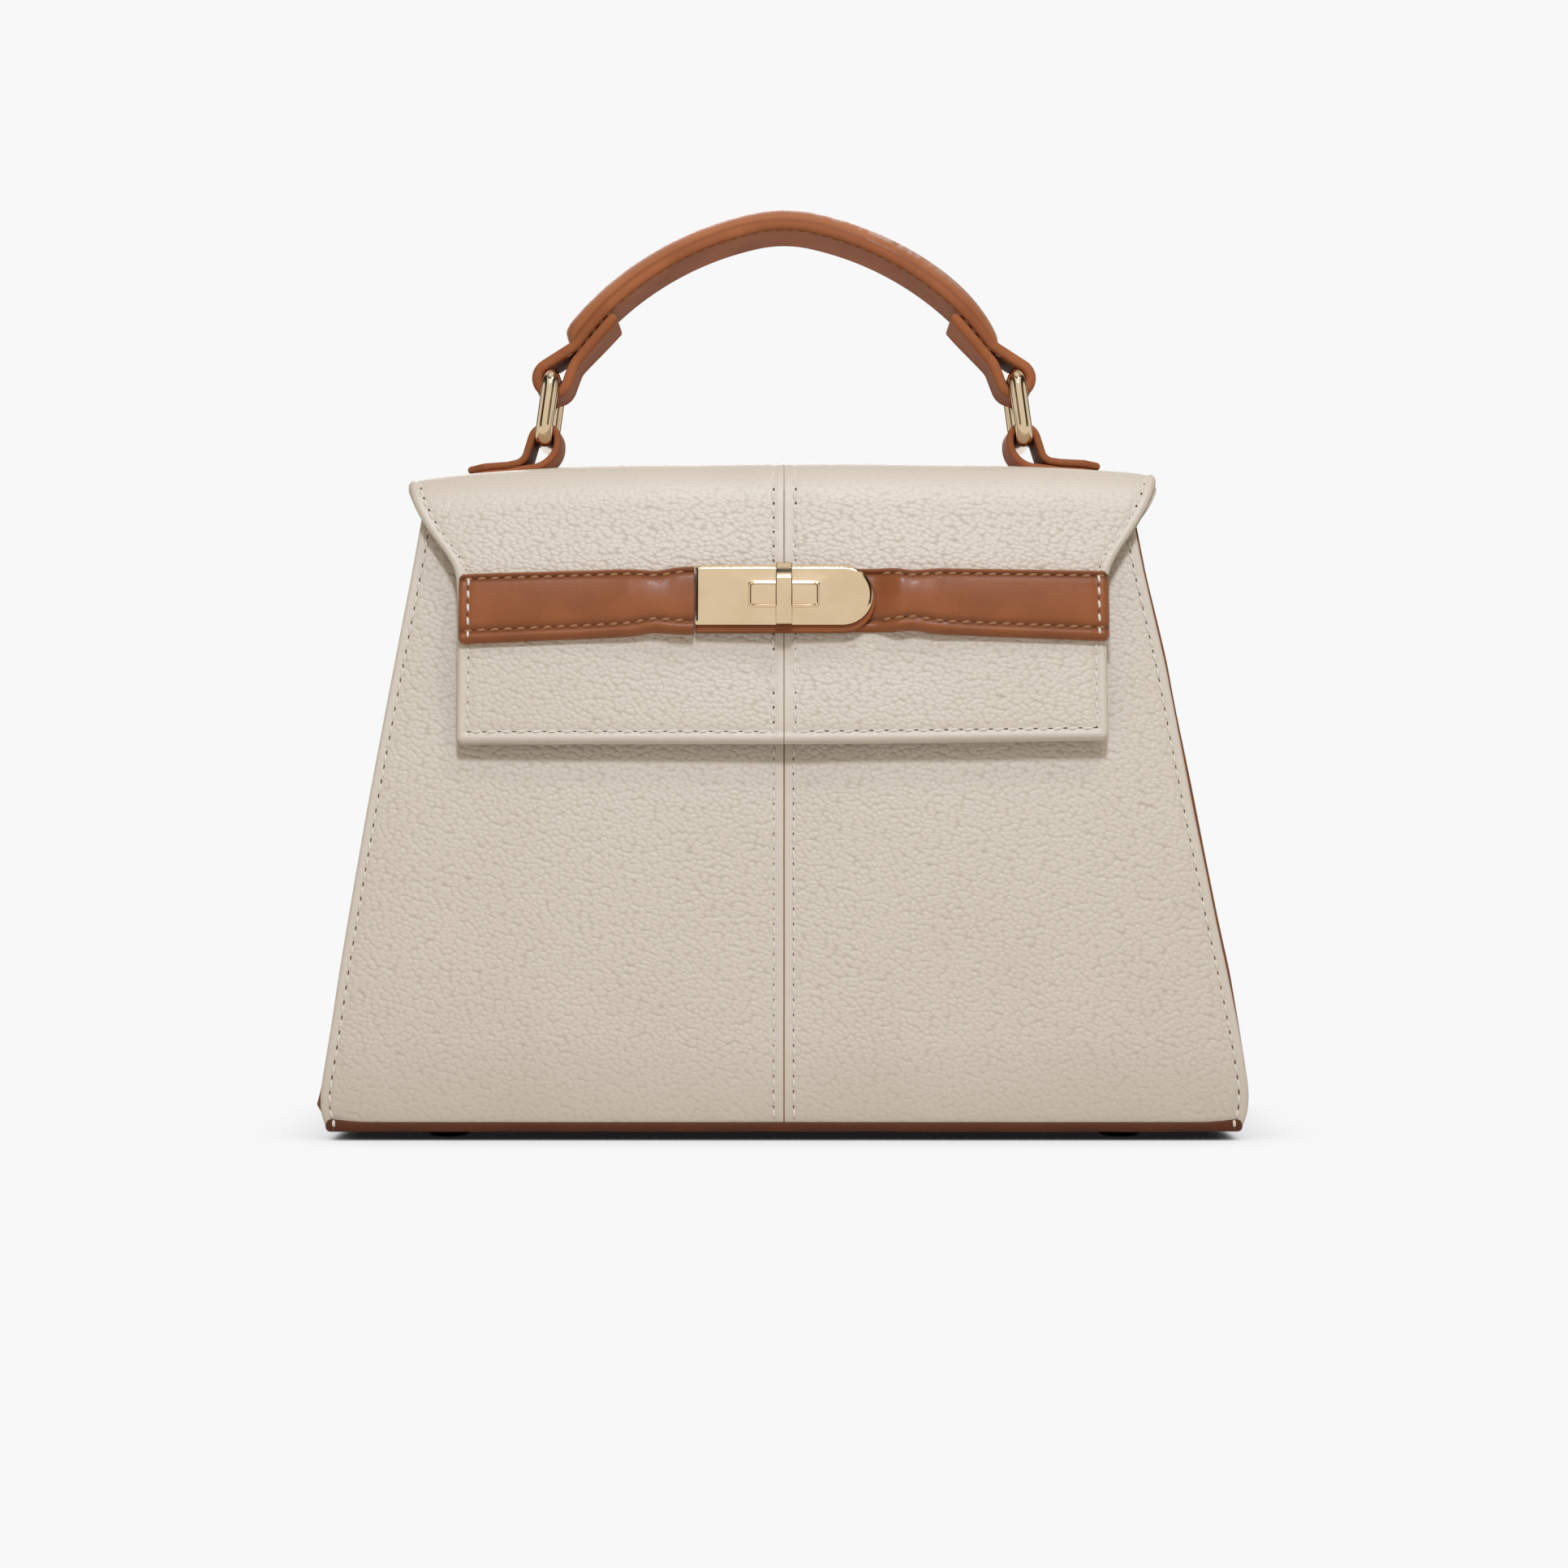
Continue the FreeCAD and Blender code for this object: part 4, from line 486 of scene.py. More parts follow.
def sew(name, line, up, finish, pitch=3.95, radius=0.38, slant_deg=6, hole=0.29, fill=0.64, rings=9,
        sides=6):
    """A row of stitches along points on a face: sunk arcs of thread, with a needle hole where two meet."""
    line, up = np.asarray(line, float), np.broadcast_to(np.asarray(up, float), np.shape(line))
    along = lengths(line)
    count = max(1, round(along[-1] / pitch))
    pitch = along[-1] / count
    length = pitch * fill
    middles = (np.arange(count) + 0.5) * pitch
    reach = length / 3
    ahead = unit(read_at(middles + reach, along, line) - read_at(middles - reach, along, line))
    side = unit(np.cross(unit(read_at(middles, along, up)), ahead))
    normal = np.cross(ahead, side)
    run, rise = math.cos(math.radians(slant_deg)), math.sin(math.radians(slant_deg))
    ahead, side = ahead * run + side * rise, side * run - ahead * rise
    turns = np.linspace(0, 2 * math.pi, sides, endpoint=False)
    far, spin = np.repeat(np.linspace(-1, 1, rings), sides), np.tile(turns, rings)
    slim = radius * (1 - stitch_slim * np.abs(far) ** 3)
    arc = radius * (stitch_proud - stitch_dive * np.abs(far) ** 3)
    stitch = np.stack([far * length / 2, slim * np.cos(spin), slim * np.sin(spin) + arc], axis=1)
    size = rings * sides
    ring = np.arange(size).reshape(rings, sides)
    after = np.roll(ring, -1, axis=1)
    tube = np.stack([ring[:-1], after[:-1], after[1:], ring[1:]], axis=-1).reshape(-1, 4).tolist()
    tube += [ring[0].tolist(), ring[-1].tolist()]
    rim = grid_of(np.cos(turns) * hole * hole_long + pitch / 2, np.sin(turns) * hole, hole_rim)
    tips = [[pitch / 2, 0, hole_top], [pitch / 2, 0, -hole_deep]]
    local = np.concatenate([stitch, rim, tips])
    pit = [[size + spot, size + (spot + 1) % sides, size + sides + tip]
           for tip in (0, 1) for spot in range(sides)]
    flat = np.concatenate([np.stack([far * length / 2, spin * radius], axis=1), np.zeros((sides + 2, 2))])
    spots = read_at(middles, along, line)[:, None]
    for axis, way in enumerate((ahead, side, normal)):
        spots = spots + local[None, :, axis, None] * way[:, None]
    faces, paint = [], []
    for number in range(count):
        for group, colour in ((tube, 0), (pit, 1)):
            faces += [[number * len(local) + spot for spot in corner] for corner in group]
            paint += [colour] * len(group)
    return make_piece(name, spots, faces, [finish, needle_dark], np.tile(flat, (count, 1)), paint=paint)


def half_wide(high, side):
    """Width of one half of the front at heights: the sides bow out, and draw in at the foot."""
    fine = np.linspace(side_high[0], side_high[-1], side_steps)
    rough = np.pad(np.interp(fine, side_high, side_half[side]), side_smooth // 2, mode="reflect",
                   reflect_type="odd")
    kernel = np.hanning(side_smooth) / np.hanning(side_smooth).sum()
    return np.interp(high, fine, np.convolve(rough, kernel, mode="valid"))


def panel_half(name, side, facing, top_high, seed):
    """Half of the front (facing -1) or of the back (facing 1), and its two rows of stitches."""
    length = (top_high - foot_high) / math.cos(lean)
    rise = spread(0, length, seam_close, 62)[:, None]
    high = foot_high + rise * math.cos(lean)
    edge = half_wide(high, side)
    wide = spread(seam_half, edge[:, 0], seam_close, 40)
    grid = grid_of(side * wide, facing * (foot_deep - rise * math.sin(lean)), high)
    outward = np.array([0, facing * math.cos(lean), math.sin(lean)])
    tuck = share_of(rise, foot_tuck_high, 0)
    crown = crown_least + (1 - crown_least) * np.sin(math.pi * (rise / length) ** 0.8)
    face = panel_crown * (1 - (2 * share_of(wide, seam_half, edge) - 1) ** 4) * crown
    face = face + turned_edge(edge - wide, *side_turn) + turned_edge(wide - seam_half, *middle_turn)
    face = face + turned_edge(length - rise, *mouth_turn) + panel_uneven * uneven(grid, panel_wave, seed)
    face = face - foot_tuck * tuck ** 2
    near = np.minimum(edge - wide, wide - seam_half)
    grain = np.clip((near - grain_from) / grain_run, grain_least, 1) * (1 - tuck_smooth * tuck)
    # The foot where it curls under the base is marked to be coloured darker: painted shade.
    piece = cut_piece(name, grid, outward, face, np.minimum(face, 0) - panel_thick,
                      grid_of(side * wide + seed * cut_apart, rise), cream_finish,
                      {"grain": grain, "raw": wide - seam_half < raw_wide, "foot_painted_shade": tuck ** 0.8})
    fasten(piece, "bag_body", "cream_leather", name.replace("_leather", ""))
    spots = grid + outward * face[..., None]
    for place, column, hole in (("middle", seam_row, hole_small), ("side", -1 - seam_row, hole_wide)):
        seam = sew(f"{name}_{place}_stitches", spots[panel_seam_rows, column], outward, cream_thread,
                   hole=hole)
        fasten(seam, "bag_body", "cream_leather")


for word, side in halves:
    panel_half(f"front_panel_{word}_leather", side, -1, mouth_high, 2.3 + side)
    panel_half(f"back_panel_{word}_leather", side, 1, back_high, 7.7 + side)
for word, side in halves:
    line = [(side * (base_half - lip_stitch_in), -base_deep - lip_stitch_out, high)
            for high in (base_lip + lip_stitch_over, base_low + lip_stitch_low)]
    seam = sew(f"base_{word}_corner_stitch", line, (0, -1, 0), cream_thread, radius=0.42, slant_deg=3)
    fasten(seam, "bag_body", "cream_leather")

# Sides: brown leather, folded in along the middle, deeper towards the mouth.
# Each is sewn between front and back, and its turned edge shows as a thin line beside them.
gusset_low, gusset_top, gusset_in, gusset_thick, gusset_tilt = 4.4, 171.6, 1.3, 1.4, 0.15
fold_low, fold_high, fold_round = 1.2, 7.0, 0.02
gusset_belly, gusset_uneven, gusset_wave = 1.2, 0.3, 26
gusset_peek, peek_from, peek_run = {-1: -0.5, 1: 0.6}, 14, 30
knuckle_peek, knuckle_high, knuckle_tall, knuckle_share = 0.6, 9.6, 1.9, 0.06
foot_in, foot_in_run, belly_low = 0.6, 2, 1.2
fold_dark, fold_dark_wide, edge_dark, edge_dark_deep = 0.6, 0.05, 0.75, 3
gusset_turn = (0.7, 2.1, 0.2, 0.15)
gusset_finish = brown_leather("brown_side", 0.02, 0.02, 0.25)


def gusset(word, side, seed):
    high = spread(gusset_low, gusset_top, edge_close, 60)[:, None]
    tuck = share_of(high - foot_high, foot_tuck_high, 0)
    deep = foot_deep - gusset_in - (high - foot_high) * wall_slope - foot_tuck * tuck ** 2
    wide = spread(-deep[:, 0], deep[:, 0], edge_close, 36)
    share = np.abs(wide) / deep
    up = (high - gusset_low) / (gusset_top - gusset_low)
    fold = fold_low + (fold_high - fold_low) * up
    inward = fold * (1 - np.sqrt(share ** 2 + fold_round)) / (1 - math.sqrt(fold_round))
    belly = np.sin(math.pi * np.clip(share, 0, 1)) * np.sin(math.pi * np.clip(up * belly_low, 0, 1))
    knuckle = hump(high, knuckle_high, knuckle_tall) * hump(share, 1, knuckle_share)
    peek = gusset_peek[side] * np.clip((high - peek_from) / peek_run, -0.1, 1)
    out = half_wide(high, side) + peek - inward + gusset_belly * belly
    out = out + (knuckle_peek - gusset_peek[side]) * knuckle
    out = out - foot_in * np.exp(-(high - gusset_low) / foot_in_run)
    grid = grid_of(side * out, wide, high)
    edge = deep - np.abs(wide)
    face = turned_edge(edge, *gusset_turn) + gusset_uneven * uneven(grid, gusset_wave, seed)
    # Painted shade: coloured darker along the inward fold and towards the edges beside front and back.
    dark = fold_dark * hump(share, 0, fold_dark_wide)
    dark = np.maximum(dark, edge_dark * np.exp(-edge / edge_dark_deep))
    piece = cut_piece(f"{word}_gusset_leather", grid, np.array([side, 0, gusset_tilt]), face,
                      np.minimum(face, 0) - gusset_thick, grid_of(wide, high), gusset_finish,
                      {"painted_shade": dark})
    fasten(piece, "bag_body", "brown_leather", f"{word}_gusset")


gusset("left", -1, 4.4)
gusset("right", 1, 9.2)

# Lining: a sewn bag of sand-coloured twill that hangs in the mouth, with a turned hem.
# It follows the sides' fold and lies a little loose on the floor.
lining_in, lining_deep, lining_low, lining_top, lining_thick = 2.2, 44.4, 6.0, 169.6, 0.7
lining_loose, lining_wave, hem_full, hem_tall, lining_lean = 0.5, 30, 0.25, 2, 20.0
floor_shares = np.array([0.03, 0.15, 0.3, 0.45, 0.6, 0.75, 0.88, 0.96])
foot_close, hem_close = np.array([0, 0.7, 2, 4]), np.array([1.5, 0.7, 0])
above_foot, below_hem, cut_lean = 7, 3, 0.6


def twill():
    made, cut = new_finish("sand_twill")
    warp = cut.node("TexWave", {"bands_direction": "DIAGONAL"},
                    {"Vector": cut, "Scale": 420, "Distortion": 0.3})
    weft = cut.node("TexWave", {"bands_direction": "X"}, {"Vector": cut, "Scale": 700, "Distortion": 0.5})
    tone = cut.node("TexNoise", flat_noise, {"Vector": cut, "Scale": 60, "Detail": 5})
    weave = warp * 0.7 + weft * 0.3
    bump = cut.node("Bump", None, {"Strength": 0.5, "Distance": 0.0002, "Height": weave})
    colour = (weave * 0.6 + tone * 0.4).mix((0.3, 0.235, 0.165, 1), (0.52, 0.43, 0.32, 1))
    close_finish(cut, Base_Color=colour, Roughness=0.85, Normal=bump)
    return made


wall_high = np.concatenate([lining_low + foot_close,
                            np.linspace(lining_low + above_foot, lining_top - below_hem, 40),
                            lining_top - hem_close])
turns = np.linspace(0, 2 * math.pi, 144, endpoint=False)
square = np.maximum(np.abs(np.cos(turns)), np.abs(np.sin(turns)))
plan_x, plan_y = np.cos(turns) / square, np.sin(turns) / square
scale = np.concatenate([floor_shares, np.ones(len(wall_high))])[:, None]
high = np.concatenate([np.full(len(floor_shares), lining_low), wall_high])[:, None]
fold = fold_low + (fold_high - fold_low) * (high - lining_low) / (lining_top - lining_low)
fold = fold * np.clip(1 - np.abs(plan_y), 0, 1) * (np.abs(plan_x) > 0.999) * scale
reach_x = np.where(plan_x < 0, half_wide(high, -1), half_wide(high, 1)) - lining_in
reach_x = reach_x * plan_x * scale - np.sign(plan_x) * fold
reach_y = (lining_deep - (high - lining_low) * wall_slope) * plan_y * scale
grid = grid_of(reach_x, reach_y, high)
inward = unit(grid_of(-reach_x, -reach_y, lining_lean))
inward[:len(floor_shares)] = (0, 0, 1)
loose = lining_loose * (1 + uneven(grid, lining_wave, 1.7))
loose = loose + hem_full * np.exp((high - lining_top) / hem_tall)
lining_cloth = cut_piece("lining_cloth_bag", grid, inward, loose + lining_thick, loose,
                         grid_of(reach_x + cut_lean * high, reach_y + high), twill(), wrap=True)
fasten(lining_cloth, "bag_body", "lining_cloth", "lining")

# Magnetic snap: a pressed steel socket in the front and its stud in the flap's lining.
# The shank of each goes through the leather, and a steel washer holds it from behind.
dress(zinc_steel, "magnet_socket", "socket_washer", "magnet_stud", "stud_washer")

# Flap: cream pebbled leather in two halves, seamed in the middle, over a board and with a leather lining.
# It is sewn on the back under the fold, lies over the top and hangs down the front, where it bends back a
# little above the belt and dips behind the lock. Its wings droop.
flap_out, flap_top, shoulder_bend, flap_low = 7.3, 179.6, 14, 104.0
flap_thick, flap_edge_thick, flap_edge_run, flap_seam_in, flap_corner = 1.6, 2.5, 4.0, 2.9, 1.8
flap_turn = (1.3, flap_seam_in, 0.3, 0.14)
flap_close = (0, 0.12, 0.3, 0.6, 1.0, 1.5, 2.0, 2.4, flap_seam_in, 3.4, 4.2, 5.6)
flap_row = flap_close.index(flap_seam_in)
back_strip_low, back_strip_out, fold_bend = 164, 1.8, 4.5
flap_top_half, flap_back_half, flap_widen_from, flap_widen_to = 100.5, 93.2, 26, 12
wing_high = np.array([104, 125, 140, 147.8, 151.7, 157, 162, 166.7, 171, 174.7, 177, 179])
wing_half = np.array([85.7, 85.7, 85.8, 86.2, 86.9, 89.6, 92.7, 95.4, 97.3, 98.75, 99.6, 100.5])
wing_kernel = np.array([1, 2, 3, 2, 1]) / 9
droop, droop_rear, droop_low = {-1: 4.7, 1: 3.1}, (28, -2), (138, 170)
flap_reach = {-1: 0.5, 1: -0.5}
flap_lift, lift_fall = {-1: 0, 1: 1.3}, (132, 104)
flap_tilt, tilt_fall = {-1: -0.8, 1: 0.4}, (128, 104)
front_from, front_full = -20, -28
flap_crown, flap_uneven, flap_wave = 0.5, 0.22, 30
bend_deep, bend_rise = 1.7, (147, 173)
dent_deep, dent_high, dent_tall, dent_wide = 1.15, 125, 8, 40
flap_grain_from, flap_grain_run, flap_grain_least, flap_cut_apart = 0.8, 3.0, 0.1, 40
smooth_rise, smooth_most = (164, 174), 0.7
lining_inset, lining_gap, flap_lining_thick, lining_from_share = {-1: 0.6, 1: -0.3}, 0.05, 1.05, 0.1
seam_sink, sink_rise = 0.3, (172, 176)


def eased(share):
    """A share with a soft start and end."""
    return share * share * (3 - 2 * share)


def on_wall(facing, high, out):
    """Place across the bag and height of a point at a distance out of the front or the back."""
    deep = foot_deep - (high - foot_high) * wall_slope + out * math.cos(lean)
    return facing * deep, high + out * math.sin(lean)


def fall(places, side):
    """Droop of the flap's wings at places from the middle."""
    share = np.clip(np.abs(places) / flap_top_half, 0, 1)
    return droop[side] * (share ** 1.7 + share ** 5) / 2


low_y, low_z = on_wall(-1, flap_low - flap_out * math.sin(lean), flap_out)
strip_y, strip_z = on_wall(1, back_strip_low, back_strip_out)
flap_line = [(strip_y, strip_z, 0), (strip_y - (flap_top - strip_z) * wall_slope, flap_top, fold_bend),
             (low_y + (flap_top - low_z) * wall_slope, flap_top, shoulder_bend), (low_y, low_z, 0)]


def flap_half(name, side, seed, inset, face_out, back_out, edge_out, from_share=0.0):
    """Half of the flap's leather or of its lining, over a grid from the back to the lower edge."""
    along, places, left = route(flap_line, flap_close, 110)
    keep = along >= along[-1] * from_share
    along, left = along[keep][:, None], left[keep]
    deep, high = places[keep].T
    widen = (flap_top_half - flap_back_half) * share_of(deep, flap_widen_from, flap_widen_to) ** 0.7
    wing = np.interp(high, wing_high, wing_half) + flap_reach[side]
    edge = np.where(deep > 0, flap_back_half + widen, wing) - inset
    edge = np.convolve(np.pad(edge, 2, mode="edge"), wing_kernel, mode="valid")
    wide = spread(seam_half, edge, flap_close, 34)
    deep, high, edge = deep[:, None], high[:, None], edge[:, None]
    hang = eased(np.where(deep > 0, share_of(deep, *droop_rear), share_of(high, *droop_low)))
    lifted = flap_lift[side] * share_of(high, *lift_fall) * (wide / flap_top_half) ** 1.5 * (deep < 0)
    grid = grid_of(side * wide, deep + lifted * wall_slope, high - hang * fall(wide, side) + lifted)
    outward = grid_of(0, -left[:, 0], -left[:, 1])[:, None]
    lower, rim = along[-1] - along, edge - wide
    near = np.minimum(rim, lower)
    from_side, from_low = round_corner(rim, lower, flap_corner)
    grid[..., 0] -= side * from_side
    grid[..., 1:] -= from_low[..., None] * unit(places[-1] - places[-2])
    front, share = share_of(deep, front_from, front_full), wide / edge
    form = flap_crown * np.sin(math.pi * np.clip(share, 0, 1))
    form = form + flap_tilt[side] * share ** 2 * share_of(high, *tilt_fall)
    form = form - bend_deep * eased(share_of(high, *bend_rise)) * (1 - outward[..., 2] ** 2)
    form = form - dent_deep * hump(high, dent_high, dent_tall) * hump(wide, 0, dent_wide)
    face = turned_edge(near, *flap_turn) + turned_edge(wide - seam_half, *middle_turn) + front * form
    face = face + flap_uneven * uneven(grid, flap_wave, seed) + face_out
    grain = np.clip((np.minimum(near, wide) - flap_grain_from) / flap_grain_run, flap_grain_least, 1)
    grain = grain * (1 - smooth_most * share_of(high, *smooth_rise))
    piece = cut_piece(name, grid, outward, face, back_out - edge_out * np.exp(-(near / flap_edge_run) ** 4),
                      grid_of(side * wide + seed * flap_cut_apart, -along), cream_finish,
                      {"grain": grain, "raw": wide - seam_half < raw_wide})
    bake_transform(piece)
    return piece, grid + outward * face[..., None], np.broadcast_to(outward, grid.shape)


flap_seams = (("middle", np.s_[5:-5, seam_row], hole_small),
              ("side", np.s_[5:-flap_row, -1 - flap_row], hole_small),
              ("lower", np.s_[-1 - flap_row, seam_row + 1:-1 - flap_row], hole_wide),
              ("rear", np.s_[flap_row, 2:-flap_row], hole_small))
flap_faces = {}
for word, side in halves:
    piece, spots, ups = flap_half(f"flap_{word}_leather", side, 5.1 + side, 0, 0, -flap_thick,
                                  flap_edge_thick - flap_thick)
    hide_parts(f"flap_{word}")
    flap_faces[side] = spots
    seat = spots - ups * seam_sink * share_of(spots[..., 2:], *sink_rise)
    for place, cells, hole in flap_seams:
        seam = sew(f"flap_{word}_{place}_stitches", seat[cells], ups[cells], cream_thread, hole=hole)
        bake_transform(seam)
    lining_face = -flap_edge_thick - lining_gap
    lining, _, _ = flap_half(f"flap_lining_{word}", side, 8.3 + side, lining_inset[side], lining_face,
                             lining_face - flap_lining_thick, 0, lining_from_share)
    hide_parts("flap_lining")

# Belt: a doubled band of smooth brown leather with turned edges, in two lengths sewn flat on the flap.
# Its outer ends are caught in the flap's edge seam, and it narrows, puffs up and puckers towards the lock.
# The right length ends in a thin tongue under the lock's tab.
lock_high, belt_reach, belt_thick, belt_tongue, belt_sunk = 142.287, 85.9, 2.5, 1.0, 0.5
belt_inner = {-1: 23.7, 1: 8.0}
belt_top = {-1: (147.4, 149.1), 1: (148.3, 149.1)}
belt_low = {-1: (128.9, 131.5), 1: (129.8, 132.1)}
belt_level_most, belt_corner, belt_end_edge, narrow_at = 0.3, 1.7, 1.6, 24
pinch_at, pinch_long, pinch_top, pinch_low = 34, 4.5, 0.7, 0.8
bulk_more, bulk_long, tongue_rise = 1.4, 15, (23.5, 31.5)
puff_least, puff_more, puff_at, puff_long = 0.5, 1.1, 39, 10
wrinkle_deep, wrinkle_at, wrinkle_long, wrinkle_size, wrinkle_upright = 0.3, 33, 9, 4.2, (1, 1, 0.35)
upper_in, lower_in = 1.6, 3.1
upper_turn, lower_turn = (1.2, upper_in, 0.6, 0.2), (1.1, lower_in, 0.7, 0.4)
belt_close = (0, 0.15, 0.4, 0.8, 1.2, upper_in, 2.2, lower_in, 4.0)
belt_rows = (("upper", -1 - belt_close.index(upper_in)), ("lower", belt_close.index(lower_in)))
upper_dark, lower_dark = 0.7, 0.75
gloss, gloss_at, gloss_long = 0.14, 40, 13
belt_seam_from = {-1: 25.5, 1: 25}
belt_seam = {"pitch": 3.45, "radius": 0.5, "slant_deg": 8, "fill": 0.76}
tan_thread = thread("tan_thread", (0.44, 0.21, 0.09, 1), (0.25, 0.1, 0.038, 1))
belt_finish = brown_leather("brown_belt", 0.0018, 0.0024, 0.045, rough=0.45, shine=0.2)
lock_out = np.array([0, -math.cos(lean), math.sin(lean)])
plane_out = foot_deep * math.cos(lean) + foot_high * math.sin(lean)


def flap_face_at(side, wide, high):
    """Distance of the flap's face from the front's plane, along the flap's row at a height."""
    spots = flap_faces[side]
    row = spots[np.argmin(np.abs(spots[:, 5, 2] - high))]
    return np.interp(wide, np.abs(row[:, 0]), row @ lock_out) - plane_out


for word, side in halves:
    wide = spread(belt_inner[side], belt_reach, edge_close, 90)[:, None]
    share, pinch = share_of(wide, belt_reach, narrow_at), hump(wide, pinch_at, pinch_long)
    top = belt_top[side][0] + (belt_top[side][1] - belt_top[side][0]) * share - pinch_top * pinch
    low = belt_low[side][0] + (belt_low[side][1] - belt_low[side][0]) * share + pinch_low * pinch
    high = spread(low[:, 0], top[:, 0], belt_close, 12)
    spots = grid_of(side * wide, on_wall(-1, high, 0)[0], high)
    level = np.minimum(flap_face_at(side, wide, lock_high), flap_out + belt_level_most)
    from_top, from_low, from_end = top - high, high - low, belt_reach - wide
    for edge, way in ((from_top, -1), (from_low, 1)):
        in_end, in_edge = round_corner(from_end, edge, belt_corner)
        spots[..., 0] -= side * in_end
        spots[..., 2] += way * in_edge
    bulk = belt_thick + bulk_more * hump(wide, narrow_at, bulk_long)
    if side > 0:
        bulk = belt_tongue + (bulk - belt_tongue) * eased(share_of(wide, *tongue_rise))
    puff = np.sin(math.pi * np.clip(from_low / (from_top + from_low), 0, 1))
    puff = puff * (puff_least + puff_more * hump(wide, puff_at, puff_long))
    wrinkle = hump(wide, wrinkle_at, wrinkle_long) * uneven(spots * wrinkle_upright, wrinkle_size, 11.3)
    face = level + bulk + puff + wrinkle_deep * wrinkle + turned_edge(from_top, *upper_turn)
    face = face + turned_edge(from_low, *lower_turn) + turned_edge(from_end, belt_end_edge)
    # Painted shade: coloured darker in the grooves of both stitch rows.
    painted_shade = hump(from_low, lower_in, lower_dark) + hump(from_top, upper_in, upper_dark)
    belt = cut_piece(f"belt_{word}_leather", spots, lock_out, face, level - belt_sunk, grid_of(wide, high),
                     belt_finish, {"painted_shade": painted_shade, "polished": gloss * hump(wide, gloss_at, gloss_long)})
    fasten(belt, "flap", "brown_leather", f"belt_{word}")
    on_face = spots + lock_out * face[..., None]
    begin = int(np.argmax(wide > belt_seam_from[side]))
    for place, column in belt_rows:
        seam = sew(f"belt_{word}_{place}_stitches", on_face[begin:-4, column], lock_out, tan_thread,
                   **belt_seam)
        fasten(seam, "flap", "brown_leather")
    end_row = np.argmin(np.abs(wide - (belt_reach - flap_seam_in)))
    seam = sew(f"belt_{word}_end_stitches", on_face[end_row, 3:-3], lock_out, cream_thread)
    fasten(seam, "flap", "cream_leather")

# Lock tab: one thick layer of brown leather under the lock plate, square on the left, round on the right.
# Its painted edge shows under the plate and past its round end.
tab_left, tab_round_x, tab_half, tab_mid = -23.3, 15.4, 8.8, 140.37
tab_levels = ((0.15, 0.9), (0, 1.1), (0, 2.6), (0.12, 2.85), (0.45, 3.0))
tab_shades = (0.6, 0.6, 0.5, 0.3, 0.1, 0, 0)


def tab_ring(inset, out):
    """The tab's outline, moved in from its edge and out from the flap."""
    half = tab_half - inset
    turns = np.linspace(-math.pi / 2, math.pi / 2, 33)
    across = np.concatenate([[tab_left + inset] * 2, tab_round_x + half * np.cos(turns)])
    up = np.concatenate([[half, -half], half * np.sin(turns)])
    return grid_of(across, *on_wall(-1, tab_mid + up * math.cos(lean), flap_out + out))


def drawn_in(ring):
    return ring + (ring.mean(axis=0) - ring) * 0.5


def ring_faces(rows, count, closed=False):
    """Faces between rings of a count of points each; where closed, also from the last ring to the first."""
    return [[row * count + spot, row * count + (spot + 1) % count,
             (row + 1) % rows * count + (spot + 1) % count, (row + 1) % rows * count + spot]
            for row in range(rows if closed else rows - 1) for spot in range(count)]


rings = [tab_ring(inset, out) for inset, out in tab_levels]
layers = np.array([drawn_in(rings[0]), *rings, drawn_in(rings[-1])])
rows, count = layers.shape[:2]
faces = ring_faces(rows, count) + [list(range(count)), list(range((rows - 1) * count, rows * count))]
# Its edge is darker, most near the flap: partly its own edge dye, partly painted shade under the plate.
lock_tab = make_piece("lock_tab_leather", layers, faces, [belt_finish], layers[..., ::2],
                      {"painted_shade": np.repeat(tab_shades, count)}, sharp_deg=50)
fasten(lock_tab, "flap", "brown_leather", "lock_tab")

# Lock: a polished pale gold plate with a rounded rim round its slot, screwed on the tab from behind.
# A boss in the slot, riveted through the flap to a steel back plate, carries the turn bar.
# The bar is narrow and faceted: flat in the middle, sloping to both ends.
lock_spot = np.array([0, -38.166, lock_high])
lock_along, lock_up = np.array([1, 0, 0]), np.array([0, math.sin(lean), math.cos(lean)])
plate_left, plate_bend, plate_half = -23.4, 15.35, 8.05
plate_edge = ((0.2, 3.0), (0, 3.2), (0, 3.9), (0.06, 4.06), (0.75, 4.52), (0.95, 4.58), (1.3, 4.6))
slot_long, slot_high, slot_square = 8.7, 2.8, 14
slot_edge = ((0.95, 4.6), (0.7, 4.64), (0.62, 4.82), (0.42, 4.98), (0.25, 5.02), (0.1, 4.95), (0, 4.75),
             (-0.05, 4.6), (-0.36, 4.58), (-0.36, 3.0))
bar_half_long, bar_half_wide, bar_seat, bar_face, bar_tip, bar_flat = 8.25, 2.25, 5.2, 8.6, 6.7, 3.7
bar_taper, bar_crown, bar_edge, bar_straight = 0.05, 0.12, 0.4, 0.6
bar_close = (0, 0.05, 0.15, 0.3, 0.5)
pale_gold = plated("pale_gold", (0.73, 0.56, 0.365, 1), (0.69, 0.52, 0.325, 1), 0.06)
corner_aims = [math.atan2(high, plate_left) for high in (-plate_half, plate_half)]
corner_aims += [math.atan2(high, long) for long in (-slot_long, slot_long)
                for high in (-slot_high, slot_high)]
aims = np.sort(np.concatenate([np.linspace(-math.pi, math.pi, 240, endpoint=False), corner_aims]))


def plate_reach(aim, inset):
    """Distance from the lock's middle to the plate's outline: square on the left, round on the right."""
    half, run, rise = plate_half - inset, math.cos(aim), math.sin(aim)
    if abs(rise) > 1e-9 and plate_left + inset <= run * half / abs(rise) <= plate_bend:
        return half / abs(rise)
    if run < 0:
        return (plate_left + inset) / run
    return plate_bend * run + math.sqrt(half ** 2 - (plate_bend * rise) ** 2)


